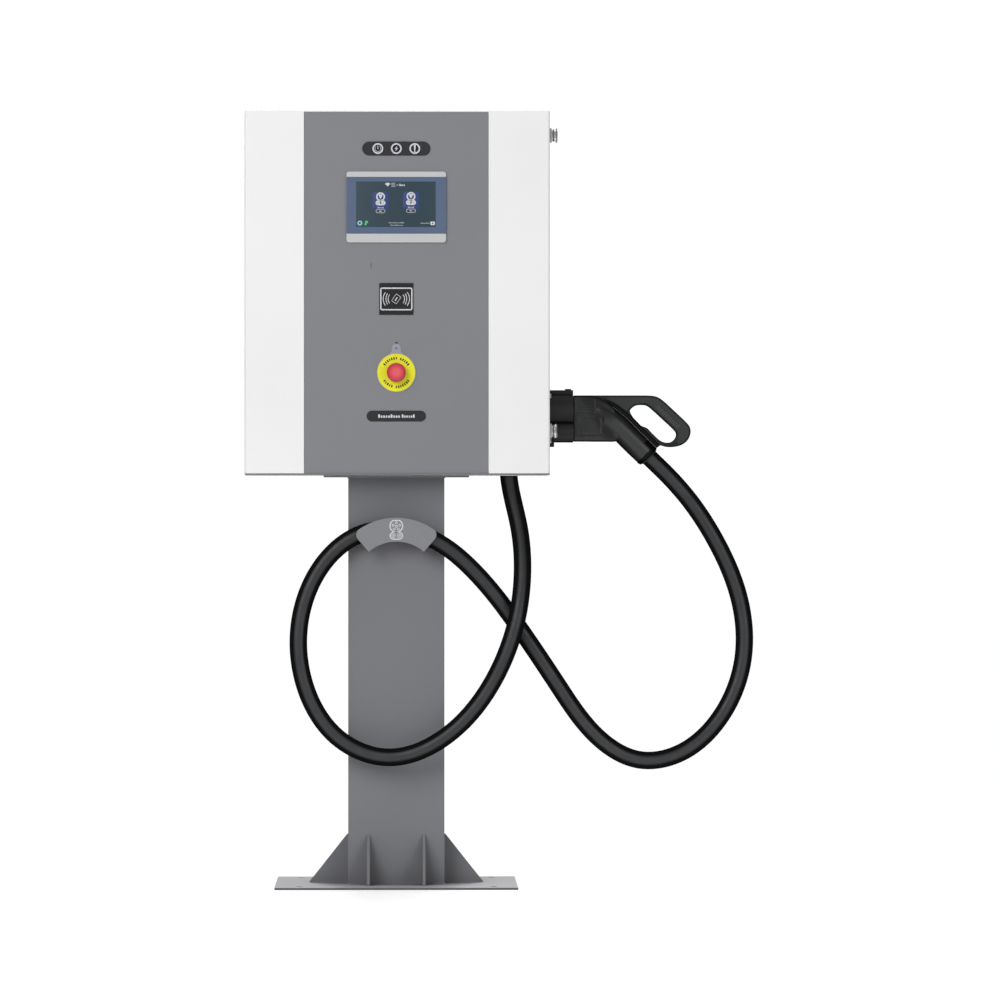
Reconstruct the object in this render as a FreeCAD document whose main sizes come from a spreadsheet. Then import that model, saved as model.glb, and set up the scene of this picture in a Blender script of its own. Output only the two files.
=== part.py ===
"""A free-standing DC charging post: a cabinet on a pedestal, with a gun in a side holster.

The frame has +X to the right of the door, +Y to the rear and +Z up. Its origin is the centre of
the base plate's underside. All lengths are in millimetres.
"""

import FreeCAD, Part
import math
import os

import Sketcher

Vector = FreeCAD.Vector

# --------------------------------------------------------------------------------------------------
# Driving dimensions
# --------------------------------------------------------------------------------------------------

DRIVING = {
    # pedestal
    "base_width": 465,
    "base_depth": 400,
    "plate_thick": 4,
    "base_hole": 14,
    "base_span_x": 372,
    "base_span_y": 310,
    "conduit_hole": 60,
    "column_width": 185.5,
    "column_depth": 100,
    "column_wall": 3,
    "column_top": 787.5,
    "flange_thick": 3,
    "gusset_reach": 75,
    "gusset_rise": 94,
    "gusset_thick": 5,
    "gusset_toe": 2,
    "gusset_spread": 53.5,
    "flange_width": 280,
    "flange_depth": 160,
    "bolt_size": 8,
    "cable_way_x": 120,
    "cable_way_y": 60,
    # cable hook
    "hook_centre_z": 583,
    "hook_outer": 126.5,
    "hook_inner": 80.5,
    "hook_angle": 41,
    "hook_corner": 13,
    "hook_plate_thick": 3,
    "saddle_thick": 4.5,
    "hook_gap": 36,
    "hook_screw": 6,
    # cabinet
    "cabinet_width": 585,
    "cabinet_height": 699.5,
    "cabinet_half_depth": 125,
    "sheet": 1.5,
    "body_front": -77,
    "jamb_side": 55,
    "jamb_end": 35,
    "vent_rise": 6,
    "vent_pitch": 14,
    "vent_width": 96,
    "exhaust_width": 360,
    "exhaust_z": 1334,
    "grommet_x": 217,
    "grommet_y": -8.5,
    "grommet_hole": 44,
    "grommet_lip": 50,
    # door
    "door_front": -125,
    "door_rear": -80,
    "door_offset": 2,
    "door_bottom": 792.5,
    "door_round": 5,
    "panel_width": 354.2,
    "panel_top": 1488,
    "panel_recess": 1.5,
    "panel_thick": 1.5,
    "frame_rear": -81.7,
    "gasket_width": 8,
    # hinge and locks
    "hinge_inset": 9,
    "hinge_y": -100,
    "hinge_low": 900,
    "hinge_high": 1380,
    "pin_dia": 6,
    "pin_play": 0.05,
    "lock_low": 876.3,
    "lock_high": 1443.8,
    "lock_y": -102.5,
    "lock_dia": 28,
    "barrel_dia": 18,
    "plug_dia": 12,
    "cam_reach": 21,
    # display, reader and indicator
    "display_width": 191,
    "display_height": 136,
    "display_z": 1305.1,
    "glass_height": 108.5,
    "glass_shift": 3.3,
    "screen_width": 156,
    "screen_height": 96,
    "reader_width": 65.6,
    "reader_height": 61,
    "reader_z": 1129,
    "pill_width": 130.5,
    "pill_height": 26.8,
    "pill_z": 1417.4,
    "lens_dia": 20.9,
    "lens_pitch": 35.4,
    "label_width": 113.9,
    "label_height": 20.9,
    "label_z": 904.4,
    # emergency stop
    "stop_z": 987.7,
    "stop_disc": 76,
    "stop_ring": 72.4,
    "stop_head": 36.7,
    "stop_barrel": 22,
    "stop_plate": 1.5,
    "stop_stem": 12,
    "stop_travel": 8,
    "lug_width": 17.9,
    "lug_rise": 46.8,
    # gun and holster
    "gun_y": 7,
    "socket_face": 342,
    "socket_z": 916,
    "socket_dia": 76,
    "socket_low_z": 876,
    "holster_screw": 5,
    "gun_half": 31,
    "cable_dia": 34,
    # fans
    "fan_side": 120,
    "fan_thick": 25,
    "fan_y": 35,
    "fan_low": 965,
    "fan_high": 1105,
    "fan_hub": 42,
    "fan_sweep": 112,
}

doc = FreeCAD.newDocument("charging_post")
sheet = doc.addObject("Spreadsheet::Sheet", "sizes")
for row, (alias, number) in enumerate(DRIVING.items(), start=1):
    sheet.set(f"A{row}", alias)
    sheet.set(f"B{row}", str(number))
    sheet.setAlias(f"B{row}", alias)
doc.recompute()


class Size:
    """A length that carries both its value and the formula that ties it to the sheet."""

    def __init__(self, value, formula):
        self.value = float(value)
        self.formula = formula

    def __float__(self):
        return self.value

    def __add__(self, other):
        other = size(other)
        return Size(self.value + other.value, f"({self.formula} + {other.formula})")

    def __sub__(self, other):
        other = size(other)
        return Size(self.value - other.value, f"({self.formula} - {other.formula})")

    def __mul__(self, other):
        other = size(other)
        return Size(self.value * other.value, f"({self.formula} * {other.formula})")

    def __truediv__(self, other):
        other = size(other)
        return Size(self.value / other.value, f"({self.formula} / {other.formula})")

    def __neg__(self):
        return size(0) - self

    def __radd__(self, other):
        return size(other) + self

    def __rsub__(self, other):
        return size(other) - self

    def __rmul__(self, other):
        return size(other) * self


def size(number):
    """The number as a Size; a plain number is its own formula."""
    if isinstance(number, Size):
        return number
    return Size(number, f"({float(number):.6f})")


class Sheet:
    """The driving dimensions by alias, as Sizes."""

    def __getattr__(self, alias):
        return Size(sheet.get(alias), f"sizes.{alias}")


dim = Sheet()

# Cutting tools reach this far past the faces they cut through.
PAST = 1.0

# Levels and faces that several pieces share.
base_top = dim.plate_thick
flange_top = dim.column_top + dim.flange_thick
cabinet_bottom = flange_top
cabinet_top = cabinet_bottom + dim.cabinet_height
cabinet_left = -dim.cabinet_width / 2
cabinet_right = dim.cabinet_width / 2
cabinet_rear = dim.cabinet_half_depth
inner_left = cabinet_left + dim.sheet
inner_bottom = cabinet_bottom + dim.sheet
plate_front = cabinet_rear - 17
door_left = cabinet_left + dim.door_offset
door_right = cabinet_right + dim.door_offset
door_skin = dim.door_front + dim.sheet
panel_front = dim.door_front + dim.panel_recess
panel_rear = panel_front + dim.panel_thick
skin_rear = panel_rear + dim.sheet
hinge_x = door_left + dim.hinge_inset
frame_inset = 9
antenna_half_x, antenna_half_z = 25, 23
stop_hole = dim.stop_barrel + 0.6
column_front = -dim.column_depth / 2

# --------------------------------------------------------------------------------------------------
# Ways of making a piece
# --------------------------------------------------------------------------------------------------

nodes = {}
made = {"count": 0}
TURN_TO = {
    "z": FreeCAD.Rotation(),
    "x": FreeCAD.Rotation(Vector(0, 1, 0), 90),
    "y": FreeCAD.Rotation(Vector(1, 0, 0), -90),
}


def fresh(kind):
    """A new document object of a kind, with a name of its own."""
    made["count"] += 1
    return doc.addObject(kind, f"Step{made['count']:03d}")


def bind(thing, **lengths):
    """Each named property tied to its formula."""
    for name, length in lengths.items():
        thing.setExpression(name, size(length).formula)


def place(thing, x, y, z, turn=None):
    """The object's origin at a point, turned first."""
    thing.Placement = FreeCAD.Placement(Vector(0, 0, 0), turn or FreeCAD.Rotation())
    for axis, length in zip("xyz", (x, y, z)):
        thing.setExpression(f"Placement.Base.{axis}", size(length).formula)
    return thing


def keep(label, thing):
    """The object kept as the named sub-part."""
    thing.Label = label
    nodes[label] = thing
    return thing


def box(x, y, z, far_x, far_y, far_z):
    """A block between two opposite corners."""
    block = fresh("Part::Box")
    bind(
        block,
        Length=size(far_x) - x,
        Width=size(far_y) - y,
        Height=size(far_z) - z,
    )
    return place(block, x, y, z)


def rod(x, y, z, diameter, length, along="z"):
    """A cylinder that starts at a point and runs along +x, +y or +z."""
    cylinder = fresh("Part::Cylinder")
    bind(cylinder, Radius=size(diameter) / 2, Height=length)
    return place(cylinder, x, y, z, TURN_TO[along])


def taper(x, y, z, diameter, end_diameter, length, along="z"):
    """A cone frustum that starts at a point and runs along +x, +y or +z."""
    cone = fresh("Part::Cone")
    bind(
        cone,
        Radius1=size(diameter) / 2,
        Radius2=size(end_diameter) / 2,
        Height=length,
    )
    return place(cone, x, y, z, TURN_TO[along])


def joined(*pieces):
    """One solid from touching pieces."""
    whole = fresh("Part::MultiFuse")
    whole.Shapes = list(pieces)
    whole.Refine = True
    return whole


def together(*pieces):
    """Separate solids in one group."""
    group = fresh("Part::Compound")
    group.Links = list(pieces)
    return group


def cut(base, *tools):
    """The base with every tool taken out."""
    rest = fresh("Part::Cut")
    rest.Base = base
    rest.Tool = tools[0] if len(tools) == 1 else joined(*tools)
    return rest


def ring(x, y, z, outer, inner, length, along="z"):
    """A tube that starts at a point and runs along an axis."""
    return cut(
        rod(x, y, z, outer, length, along), rod(x, y, z, inner, length, along)
    )


def shaped(label, shape):
    """A sub-part whose shape no primitive gives."""
    feature = doc.addObject("Part::Feature", label)
    feature.Shape = shape
    feature.Placement = FreeCAD.Placement()
    return keep(label, feature)


# Sketched bodies. On XZ_Plane a pad runs towards the front (-Y); on XY_Plane it runs up.


def sketched_body(label):
    """An empty body that becomes the named sub-part."""
    return keep(label, doc.addObject("PartDesign::Body", label))


def sketch_on(body, role, level):
    """A sketch on one of the body's own planes, moved along the plane's normal."""
    made["count"] += 1
    sketch = body.newObject("Sketcher::SketchObject", f"Sketch{made['count']:03d}")
    plane = [f for f in body.Origin.OriginFeatures if f.Role == role][0]
    sketch.AttachmentSupport = [(plane, "")]
    sketch.MapMode = "FlatFace"
    sketch.setExpression("AttachmentOffset.Base.z", size(level).formula)
    return sketch


def fix(sketch, kind, geometry, point, length):
    """One dimension of a sketch tied to its formula; positions are from the sketch's origin."""
    length = size(length)
    if kind == "Radius":
        rule = Sketcher.Constraint("Radius", geometry, length.value)
    else:
        rule = Sketcher.Constraint(kind, -1, 1, geometry, point, length.value)
    index = sketch.addConstraint(rule)
    name = f"rule{index}"
    sketch.renameConstraint(index, name)
    sketch.setExpression(f"Constraints.{name}", length.formula)


def draw_polygon(sketch, points):
    """Straight edges through points given as pairs of lengths."""
    points = [(size(u), size(v)) for u, v in points]
    first = sketch.GeometryCount
    count = len(points)
    for i, (u, v) in enumerate(points):
        to_u, to_v = points[(i + 1) % count]
        start = Vector(u.value, v.value, 0)
        end = Vector(to_u.value, to_v.value, 0)
        sketch.addGeometry(Part.LineSegment(start, end), False)
    for i, (u, v) in enumerate(points):
        after = first + (i + 1) % count
        sketch.addConstraint(Sketcher.Constraint("Coincident", first + i, 2, after, 1))
        fix(sketch, "DistanceX", first + i, 1, u)
        fix(sketch, "DistanceY", first + i, 1, v)


def draw_rectangle(sketch, u, v, far_u, far_v):
    """A rectangle between two opposite corners."""
    draw_polygon(sketch, [(u, v), (far_u, v), (far_u, far_v), (u, far_v)])


def draw_circle(sketch, u, v, radius):
    """A circle about a point."""
    u, v, radius = size(u), size(v), size(radius)
    centre = Vector(u.value, v.value, 0)
    circle = Part.Circle(centre, Vector(0, 0, 1), radius.value)
    index = sketch.addGeometry(circle, False)
    fix(sketch, "DistanceX", index, 3, u)
    fix(sketch, "DistanceY", index, 3, v)
    fix(sketch, "Radius", index, None, radius)


def draw_slot(sketch, u, v, width, height):
    """A slot with round ends, centred on a point and longer along the sketch's first axis."""
    u, v, radius = size(u), size(v), size(height) / 2
    reach = size(width) / 2 - radius
    for side, start, stop in ((1, -0.5, 0.5), (-1, 0.5, 1.5)):
        centre = Vector(u.value + side * reach.value, v.value, 0)
        circle = Part.Circle(centre, Vector(0, 0, 1), radius.value)
        arc = Part.ArcOfCircle(circle, start * math.pi, stop * math.pi)
        index = sketch.addGeometry(arc, False)
        fix(sketch, "DistanceX", index, 3, u + reach * side)
        fix(sketch, "DistanceY", index, 3, v)
        fix(sketch, "Radius", index, None, radius)
    for side in (1, -1):
        level = v.value + side * radius.value
        left = Vector(u.value - side * reach.value, level, 0)
        right = Vector(u.value + side * reach.value, level, 0)
        sketch.addGeometry(Part.LineSegment(left, right), False)
    right_arc = sketch.GeometryCount - 4
    left_arc, top, bottom = right_arc + 1, right_arc + 2, right_arc + 3
    for one, one_end, other, other_end in (
        (top, 1, left_arc, 1),
        (top, 2, right_arc, 2),
        (bottom, 1, right_arc, 1),
        (bottom, 2, left_arc, 2),
    ):
        rule = Sketcher.Constraint("Tangent", one, one_end, other, other_end)
        sketch.addConstraint(rule)


def pad(body, sketch, length):
    """Material added from a sketch, along its plane's normal."""
    made["count"] += 1
    feature = body.newObject("PartDesign::Pad", f"Pad{made['count']:03d}")
    feature.Profile = sketch
    bind(feature, Length=length)
    doc.recompute()
    return feature


def pocket(body, sketch, depth=None):
    """Material taken away from a sketch: to a depth, or else through the whole body both ways."""
    made["count"] += 1
    feature = body.newObject("PartDesign::Pocket", f"Pocket{made['count']:03d}")
    feature.Profile = sketch
    if depth is None:
        feature.Type = "ThroughAll"
        feature.Midplane = True
    else:
        bind(feature, Length=depth)
    before = body.Shape.Volume
    doc.recompute()
    if body.Shape.Volume >= before:
        raise RuntimeError(f"a pocket in {body.Label} cut nothing")
    return feature


def round_edges(body, radius, wanted):
    """The body's edges that the test wants, rounded."""
    made["count"] += 1
    names = [
        f"Edge{i}" for i, edge in enumerate(body.Shape.Edges, start=1) if wanted(edge)
    ]
    base = body.Tip
    feature = body.newObject("PartDesign::Fillet", f"Fillet{made['count']:03d}")
    feature.Base = (base, names)
    bind(feature, Radius=radius)
    doc.recompute()
    return feature


def runs_along(direction):
    """A test for straight edges parallel to a direction."""

    def wanted(edge):
        if not isinstance(edge.Curve, Part.Line):
            return False
        return abs(abs(edge.Curve.Direction.dot(direction)) - 1) < 1e-6

    return wanted


def rounded_plate(label, x, z, width, height, corner, rear, thick):
    """An upright plate with rounded corners: its rear face's y and its thickness towards the front."""
    body = sketched_body(label)
    sketch = sketch_on(body, "XZ_Plane", -size(rear))
    half_width, half_height = size(width) / 2, size(height) / 2
    x, z = size(x), size(z)
    draw_rectangle(
        sketch, x - half_width, z - half_height, x + half_width, z + half_height
    )
    pad(body, sketch, thick)
    round_edges(body, corner, runs_along(Vector(0, 1, 0)))
    return body


def pipe_through(points, radius):
    """A round bar whose centre line is a smooth curve through points."""
    curve = Part.BSplineCurve()
    curve.interpolate([Vector(*point) for point in points])
    spine = Part.Wire(curve.toShape())
    tangent = curve.tangent(curve.FirstParameter)[0]
    circle = Part.Circle(Vector(*points[0]), tangent, float(radius))
    return spine.makePipeShell([Part.Wire(circle.toShape())], True, True)


# --------------------------------------------------------------------------------------------------
# Pedestal
# --------------------------------------------------------------------------------------------------


def make_base_plate():
    body = sketched_body("base_plate")
    outline = sketch_on(body, "XY_Plane", 0)
    half_x, half_y = dim.base_width / 2, dim.base_depth / 2
    draw_rectangle(outline, -half_x, -half_y, half_x, half_y)
    pad(body, outline, dim.plate_thick)
    holes = sketch_on(body, "XY_Plane", 0)
    for side_x in (-1, 1):
        for side_y in (-1, 1):
            centre_x = dim.base_span_x * side_x / 2
            centre_y = dim.base_span_y * side_y / 2
            draw_circle(holes, centre_x, centre_y, dim.base_hole / 2)
    draw_circle(holes, 0, 0, dim.conduit_hole / 2)
    pocket(body, holes)


def make_column():
    body = sketched_body("column")
    outline = sketch_on(body, "XY_Plane", base_top)
    half_x, half_y = dim.column_width / 2, dim.column_depth / 2
    draw_rectangle(outline, -half_x, -half_y, half_x, half_y)
    wall = dim.column_wall
    draw_rectangle(outline, wall - half_x, wall - half_y, half_x - wall, half_y - wall)
    pad(body, outline, dim.column_top - base_top)
    holes = sketch_on(body, "XZ_Plane", dim.column_depth / 2)
    for x, z in hook_screw_places():
        draw_circle(holes, x, z, dim.hook_screw / 2)
    pocket(body, holes, dim.column_wall * 2)


def gusset(reach_to, height, toe, thick):
    """A triangular web in the XZ plane, its upright edge on x = 0 and its foot running along +x."""
    profile = Part.makePolygon(
        [
            Vector(0, -thick / 2, 0),
            Vector(reach_to, -thick / 2, 0),
            Vector(reach_to, -thick / 2, toe),
            Vector(toe, -thick / 2, height),
            Vector(0, -thick / 2, height),
            Vector(0, -thick / 2, 0),
        ]
    )
    return Part.Face(profile).extrude(Vector(0, thick, 0))


def make_gussets():
    web = gusset(
        float(dim.gusset_reach),
        float(dim.gusset_rise),
        float(dim.gusset_toe),
        float(dim.gusset_thick),
    )
    sides = []
    for turn, x in ((0, dim.column_width / 2), (180, -dim.column_width / 2)):
        side = web.copy()
        side.rotate(Vector(0, 0, 0), Vector(0, 0, 1), turn)
        side.translate(Vector(float(x), 0, float(base_top)))
        sides.append(side)
    shaped("side_gussets", Part.Compound(sides))
    faces = []
    for turn, y in ((-90, column_front), (90, -column_front)):
        for side_x in (-1, 1):
            face = web.copy()
            face.rotate(Vector(0, 0, 0), Vector(0, 0, 1), turn)
            x = float(dim.gusset_spread) * side_x
            face.translate(Vector(x, float(y), float(base_top)))
            faces.append(face)
    shaped("face_gussets", Part.Compound(faces))


def flange_bolt_places():
    """Where the four bolts join the pedestal's flange to the cabinet."""
    across, back = dim.flange_width * 0.44, dim.flange_depth * 0.38
    return [(across * side_x, back * side_y) for side_x in (-1, 1) for side_y in (-1, 1)]


def make_top_flange():
    body = sketched_body("top_flange")
    outline = sketch_on(body, "XY_Plane", dim.column_top)
    half_x, half_y = dim.flange_width / 2, dim.flange_depth / 2
    draw_rectangle(outline, -half_x, -half_y, half_x, half_y)
    pad(body, outline, dim.flange_thick)
    openings = sketch_on(body, "XY_Plane", dim.column_top)
    half_way_x, half_way_y = dim.cable_way_x / 2, dim.cable_way_y / 2
    draw_rectangle(openings, -half_way_x, -half_way_y, half_way_x, half_way_y)
    for x, y in flange_bolt_places():
        draw_circle(openings, x, y, dim.bolt_size / 2)
    pocket(body, openings)


def make_flange_bolts():
    """Bolts put in from inside the cabinet, ending flush in the tapped flange."""
    bolts = []
    head, head_height = dim.bolt_size * 1.6, dim.bolt_size * 0.65
    shank = dim.flange_thick + dim.sheet
    for x, y in flange_bolt_places():
        shaft = rod(x, y, dim.column_top, dim.bolt_size, shank)
        bolts.append(joined(shaft, rod(x, y, inner_bottom, head, head_height)))
    keep("flange_bolts", together(*bolts))


# --------------------------------------------------------------------------------------------------
# Cable hook
# --------------------------------------------------------------------------------------------------


def hook_screw_places():
    """The hook's screws, spread along the saddle's arc."""
    middle = (dim.hook_outer + dim.hook_inner) / 2
    places = []
    for angle in (-28, -10, 10, 28):
        lean = math.radians(angle)
        places.append((middle * math.sin(lean), dim.hook_centre_z + middle * math.cos(lean)))
    return places


def arc_band(inner, outer, half_angle, front, rear):
    """A flat arched band between two y levels, centred above the hook's centre."""

    def at(radius, angle):
        lean = math.radians(angle)
        height = float(dim.hook_centre_z) + radius * math.cos(lean)
        return Vector(radius * math.sin(lean), front, height)

    outer_arc = Part.Arc(at(outer, -half_angle), at(outer, 0), at(outer, half_angle))
    inner_arc = Part.Arc(at(inner, half_angle), at(inner, 0), at(inner, -half_angle))
    right = Part.LineSegment(at(outer, half_angle), at(inner, half_angle))
    left = Part.LineSegment(at(inner, -half_angle), at(outer, -half_angle))
    edges = [line.toShape() for line in (outer_arc, right, inner_arc, left)]
    return Part.Face(Part.Wire(edges)).extrude(Vector(0, rear - front, 0))


def make_cable_hook():
    thick = float(dim.hook_plate_thick)
    wall = float(column_front)
    inner, outer = float(dim.hook_inner), float(dim.hook_outer)
    angle = float(dim.hook_angle)
    inset, inset_angle = 4, 3
    shaft_radius, head_radius, screw_length = float(dim.hook_screw) / 2, 5.5, 12
    back_front = wall - thick
    front_rear = back_front - float(dim.hook_gap)
    back = arc_band(inner, outer - inset, angle - inset_angle, back_front, wall)
    screws = []
    for x, z in hook_screw_places():
        top = Vector(float(x), back_front, float(z))
        head = Part.makeCone(head_radius, shaft_radius, thick, top, Vector(0, 1, 0))
        shaft = Part.makeCylinder(shaft_radius, screw_length, top, Vector(0, 1, 0))
        screw = head.fuse(shaft).removeSplitter()
        screws.append(screw)
        back = back.cut(screw)
    shaped("hook_backplate", back)
    shaped("hook_screws", Part.Compound(screws))
    saddle_top = inner + float(dim.saddle_thick)
    saddle = arc_band(inner, saddle_top, angle - inset_angle, front_rear, back_front)
    shaped("hook_saddle", saddle)
    plate = arc_band(inner, outer, angle, front_rear - thick, front_rear)

    def outer_corner(edge):
        middle = edge.CenterOfMass
        from_centre = math.hypot(middle.x, middle.z - float(dim.hook_centre_z))
        return runs_along(Vector(0, 1, 0))(edge) and from_centre > (inner + outer) / 2

    corners = [edge for edge in plate.Edges if outer_corner(edge)]
    shaped("hook_plate", plate.makeFillet(float(dim.hook_corner), corners))


# --------------------------------------------------------------------------------------------------
# Cabinet
# --------------------------------------------------------------------------------------------------

def fan_vents():
    """Slots through the left wall in front of each fan."""
    slots = []
    for middle in (dim.fan_low, dim.fan_high):
        for step in (-3, -2, -1, 0, 1, 2, 3):
            z = middle + dim.vent_pitch * step
            low, high = z - dim.vent_rise / 2, z + dim.vent_rise / 2
            near, far = dim.fan_y - dim.vent_width / 2, dim.fan_y + dim.vent_width / 2
            slots.append(box(cabinet_left - PAST, near, low, inner_left + PAST, far, high))
    return slots


def rear_vents():
    """Exhaust slots high in the rear wall, behind the power module."""
    slots = []
    half = dim.exhaust_width / 2
    inside = cabinet_rear - dim.sheet
    for step in range(10):
        z = dim.exhaust_z + dim.vent_pitch * step
        top = z + dim.vent_rise
        slots.append(box(-half, inside - PAST, z, half, cabinet_rear + PAST, top))
    return slots


def make_cabinet_body():
    shell = box(
        cabinet_left,
        dim.body_front,
        cabinet_bottom,
        cabinet_right,
        cabinet_rear,
        cabinet_top,
    )
    cavity = box(
        inner_left,
        dim.body_front + dim.sheet,
        inner_bottom,
        cabinet_right - dim.sheet,
        cabinet_rear - dim.sheet,
        cabinet_top - dim.sheet,
    )
    doorway = box(
        cabinet_left + dim.jamb_side,
        dim.body_front - PAST,
        cabinet_bottom + dim.jamb_end,
        cabinet_right - dim.jamb_side,
        dim.body_front + dim.sheet + PAST,
        cabinet_top - dim.jamb_end,
    )
    under, through = cabinet_bottom - PAST, dim.sheet + 2 * PAST
    half_x, half_y = dim.cable_way_x / 2, dim.cable_way_y / 2
    supply_way = box(-half_x, -half_y, under, half_x, half_y, inner_bottom + PAST)
    grommet_hole = rod(dim.grommet_x, dim.grommet_y, under, dim.grommet_hole, through)
    bolt_holes = [
        rod(x, y, under, dim.bolt_size + 1, through) for x, y in flange_bolt_places()
    ]
    side = cabinet_right - dim.sheet - PAST
    screw_holes = [
        rod(side, y, z, dim.holster_screw, through, "x") for y, z in holster_screw_places()
    ]
    tools = [cavity, doorway, supply_way, grommet_hole] + bolt_holes + screw_holes
    keep("cabinet_body", cut(shell, *tools, *fan_vents(), *rear_vents()))


def make_mounting_plate():
    """The galvanised plate that carries the electrics, on four posts from the rear wall."""
    left, right, thick, post_dia, inset = -250, 270, 2, 16, 15
    low, high = cabinet_bottom + 45, cabinet_top - 25
    plate_rear = plate_front + thick
    plate = box(left, plate_front, low, right, plate_rear, high)
    post_length = cabinet_rear - dim.sheet - plate_rear
    posts = [
        rod(x, plate_rear, z, post_dia, post_length, "y")
        for x in (left + inset, right - inset)
        for z in (low + inset, high - inset)
    ]
    keep("mounting_plate", joined(plate, *posts))


def make_door_gasket():
    """A foam strip round the doorway that the door's inner frame presses on."""
    gap = 4
    side, end = dim.jamb_side - gap, dim.jamb_end - gap
    front = dim.frame_rear + 0.2
    width = dim.gasket_width
    outer = box(
        cabinet_left + side - width,
        front,
        cabinet_bottom + end - width,
        cabinet_right - side + width,
        dim.body_front,
        cabinet_top - end + width,
    )
    inner = box(
        cabinet_left + side,
        front - PAST,
        cabinet_bottom + end,
        cabinet_right - side,
        dim.body_front + PAST,
        cabinet_top - end,
    )
    keep("door_gasket", cut(outer, inner))


def make_cable_entry():
    """A rubber grommet flush with the floor and a clamp block on it, both wider than the cable."""
    x, y = dim.grommet_x, dim.grommet_y
    lip_thick, tall, half_x, half_y = 2, 36, 32, 26
    bore_dia = dim.cable_dia + 6
    lip = rod(x, y, inner_bottom, dim.grommet_lip, lip_thick)
    neck = rod(x, y, cabinet_bottom, dim.grommet_hole, dim.sheet)
    bore = rod(x, y, cabinet_bottom - PAST, bore_dia, tall)
    keep("cable_grommet", cut(joined(lip, neck), bore))
    low = inner_bottom + lip_thick
    block = box(x - half_x, y - half_y, low, x + half_x, y + half_y, low + tall)
    hole = rod(x, y, low - PAST, bore_dia - 2, tall + 2 * PAST)
    keep("cable_clamp", cut(block, hole))


# --------------------------------------------------------------------------------------------------
# Fans
# --------------------------------------------------------------------------------------------------


def make_fan_frames():
    frames = []
    half = dim.fan_side / 2
    tip_play, motor_thick, strut, strut_inset = 1.5, 4, 3, 1
    near, far = inner_left, inner_left + dim.fan_thick
    for z in (dim.fan_low, dim.fan_high):
        block = box(near, dim.fan_y - half, z - half, far, dim.fan_y + half, z + half)
        through = dim.fan_thick + 2 * PAST
        duct = rod(near - PAST, dim.fan_y, z, dim.fan_sweep + tip_play * 2, through, "x")
        motor = rod(far - motor_thick, dim.fan_y, z, dim.fan_hub, motor_thick, "x")
        reach = half - strut_inset
        back = far - strut
        struts = [
            box(back, dim.fan_y - reach, z - strut, far, dim.fan_y + reach, z + strut),
            box(back, dim.fan_y - strut, z - reach, far, dim.fan_y + strut, z + reach),
        ]
        frames.append(joined(cut(block, duct), motor, *struts))
    keep("fan_frames", together(*frames))


def make_fan_rotor(label, level):
    """A hub with seven pitched blades, spinning about X."""
    body = sketched_body(label)
    depth, wall_gap, chord_half, chord_thick = 16, 3, 13, 3
    hub = sketch_on(body, "XY_Plane", 0)
    draw_circle(hub, 0, 0, dim.fan_hub / 2)
    pad(body, hub, depth)
    blade = sketch_on(body, "YZ_Plane", dim.fan_hub / 2 - 2)
    draw_polygon(
        blade,
        [
            (-chord_half, 1),
            (chord_thick - chord_half, 1),
            (chord_half, depth - 1),
            (chord_half - chord_thick, depth - 1),
        ],
    )
    vane = pad(body, blade, (dim.fan_sweep - dim.fan_hub) / 2 + 1)
    pattern = body.newObject("PartDesign::PolarPattern", f"{label}_blades")
    pattern.Originals = [vane]
    axis = [f for f in body.Origin.OriginFeatures if f.Role == "Z_Axis"][0]
    pattern.Axis = (axis, [""])
    pattern.Angle = 360
    pattern.Occurrences = 7
    body.Tip = pattern
    place(body, inner_left + wall_gap, dim.fan_y, level, TURN_TO["x"])


# --------------------------------------------------------------------------------------------------
# Electrics inside
# --------------------------------------------------------------------------------------------------

rail_z = cabinet_bottom + 120
rail_front = plate_front - 7.5
breaker_x = size(-200)
breaker_width = 72
breaker_front = plate_front - 75
breaker_half = 43
lever_y = breaker_front + 11
lever_axle = 8
terminal_z = rail_z - 40
terminal_front = plate_front - 75


def make_power_module():
    """A rack power module standing on end, with cooling fins on its front."""
    left, low = size(-60), cabinet_bottom + 235
    width, height, depth = 300, 437, 84
    fin_count, fin_pitch, fin_thick, fin_rise, fin_inset = 14, 20, 3, 6, 40
    front = plate_front - depth
    case = box(left, front, low, left + width, plate_front, low + height)
    fins = []
    for i in range(1, fin_count + 1):
        x = left + fin_pitch * i
        top = low + height - fin_inset
        fins.append(box(x, front - fin_rise, low + fin_inset, x + fin_thick, front, top))
    keep("power_module", joined(case, *fins))


def make_din_rail():
    """A 35 mm top-hat rail."""
    left, right, half, web_half, thick = -235, 0, 17.5, 13, 1
    web = box(left, rail_front, rail_z - web_half, right, plate_front, rail_z + web_half)
    lips = box(left, rail_front, rail_z - half, right, rail_front + thick, rail_z + half)
    core = web_half - thick
    hollow = box(
        left - PAST,
        rail_front + thick,
        rail_z - core,
        right + PAST,
        plate_front - thick,
        rail_z + core,
    )
    keep("din_rail", cut(joined(web, lips), hollow))


def make_supply_breaker():
    """The incoming breaker, with a slot in its nose and a cross bore for the lever's pivot."""
    left, right = breaker_x, breaker_x + breaker_width
    step, nose_half, slot_half, slot_depth, cheek, wall = 12, 22, 16, 26, 12, 3
    front, shoulder = breaker_front, breaker_front + step
    case = box(left, shoulder, rail_z - breaker_half, right, rail_front, rail_z + breaker_half)
    nose = box(left, front, rail_z - nose_half, right, shoulder, rail_z + nose_half)
    slot = box(
        left + cheek,
        front - PAST,
        rail_z - slot_half,
        right - cheek,
        front + slot_depth,
        rail_z + slot_half,
    )
    seat_dia = lever_axle + dim.pin_play * 2
    seat = rod(left + wall, lever_y, rail_z, seat_dia, breaker_width - 2 * wall, "x")
    keep("supply_breaker", cut(joined(case, nose), slot, seat))


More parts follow.
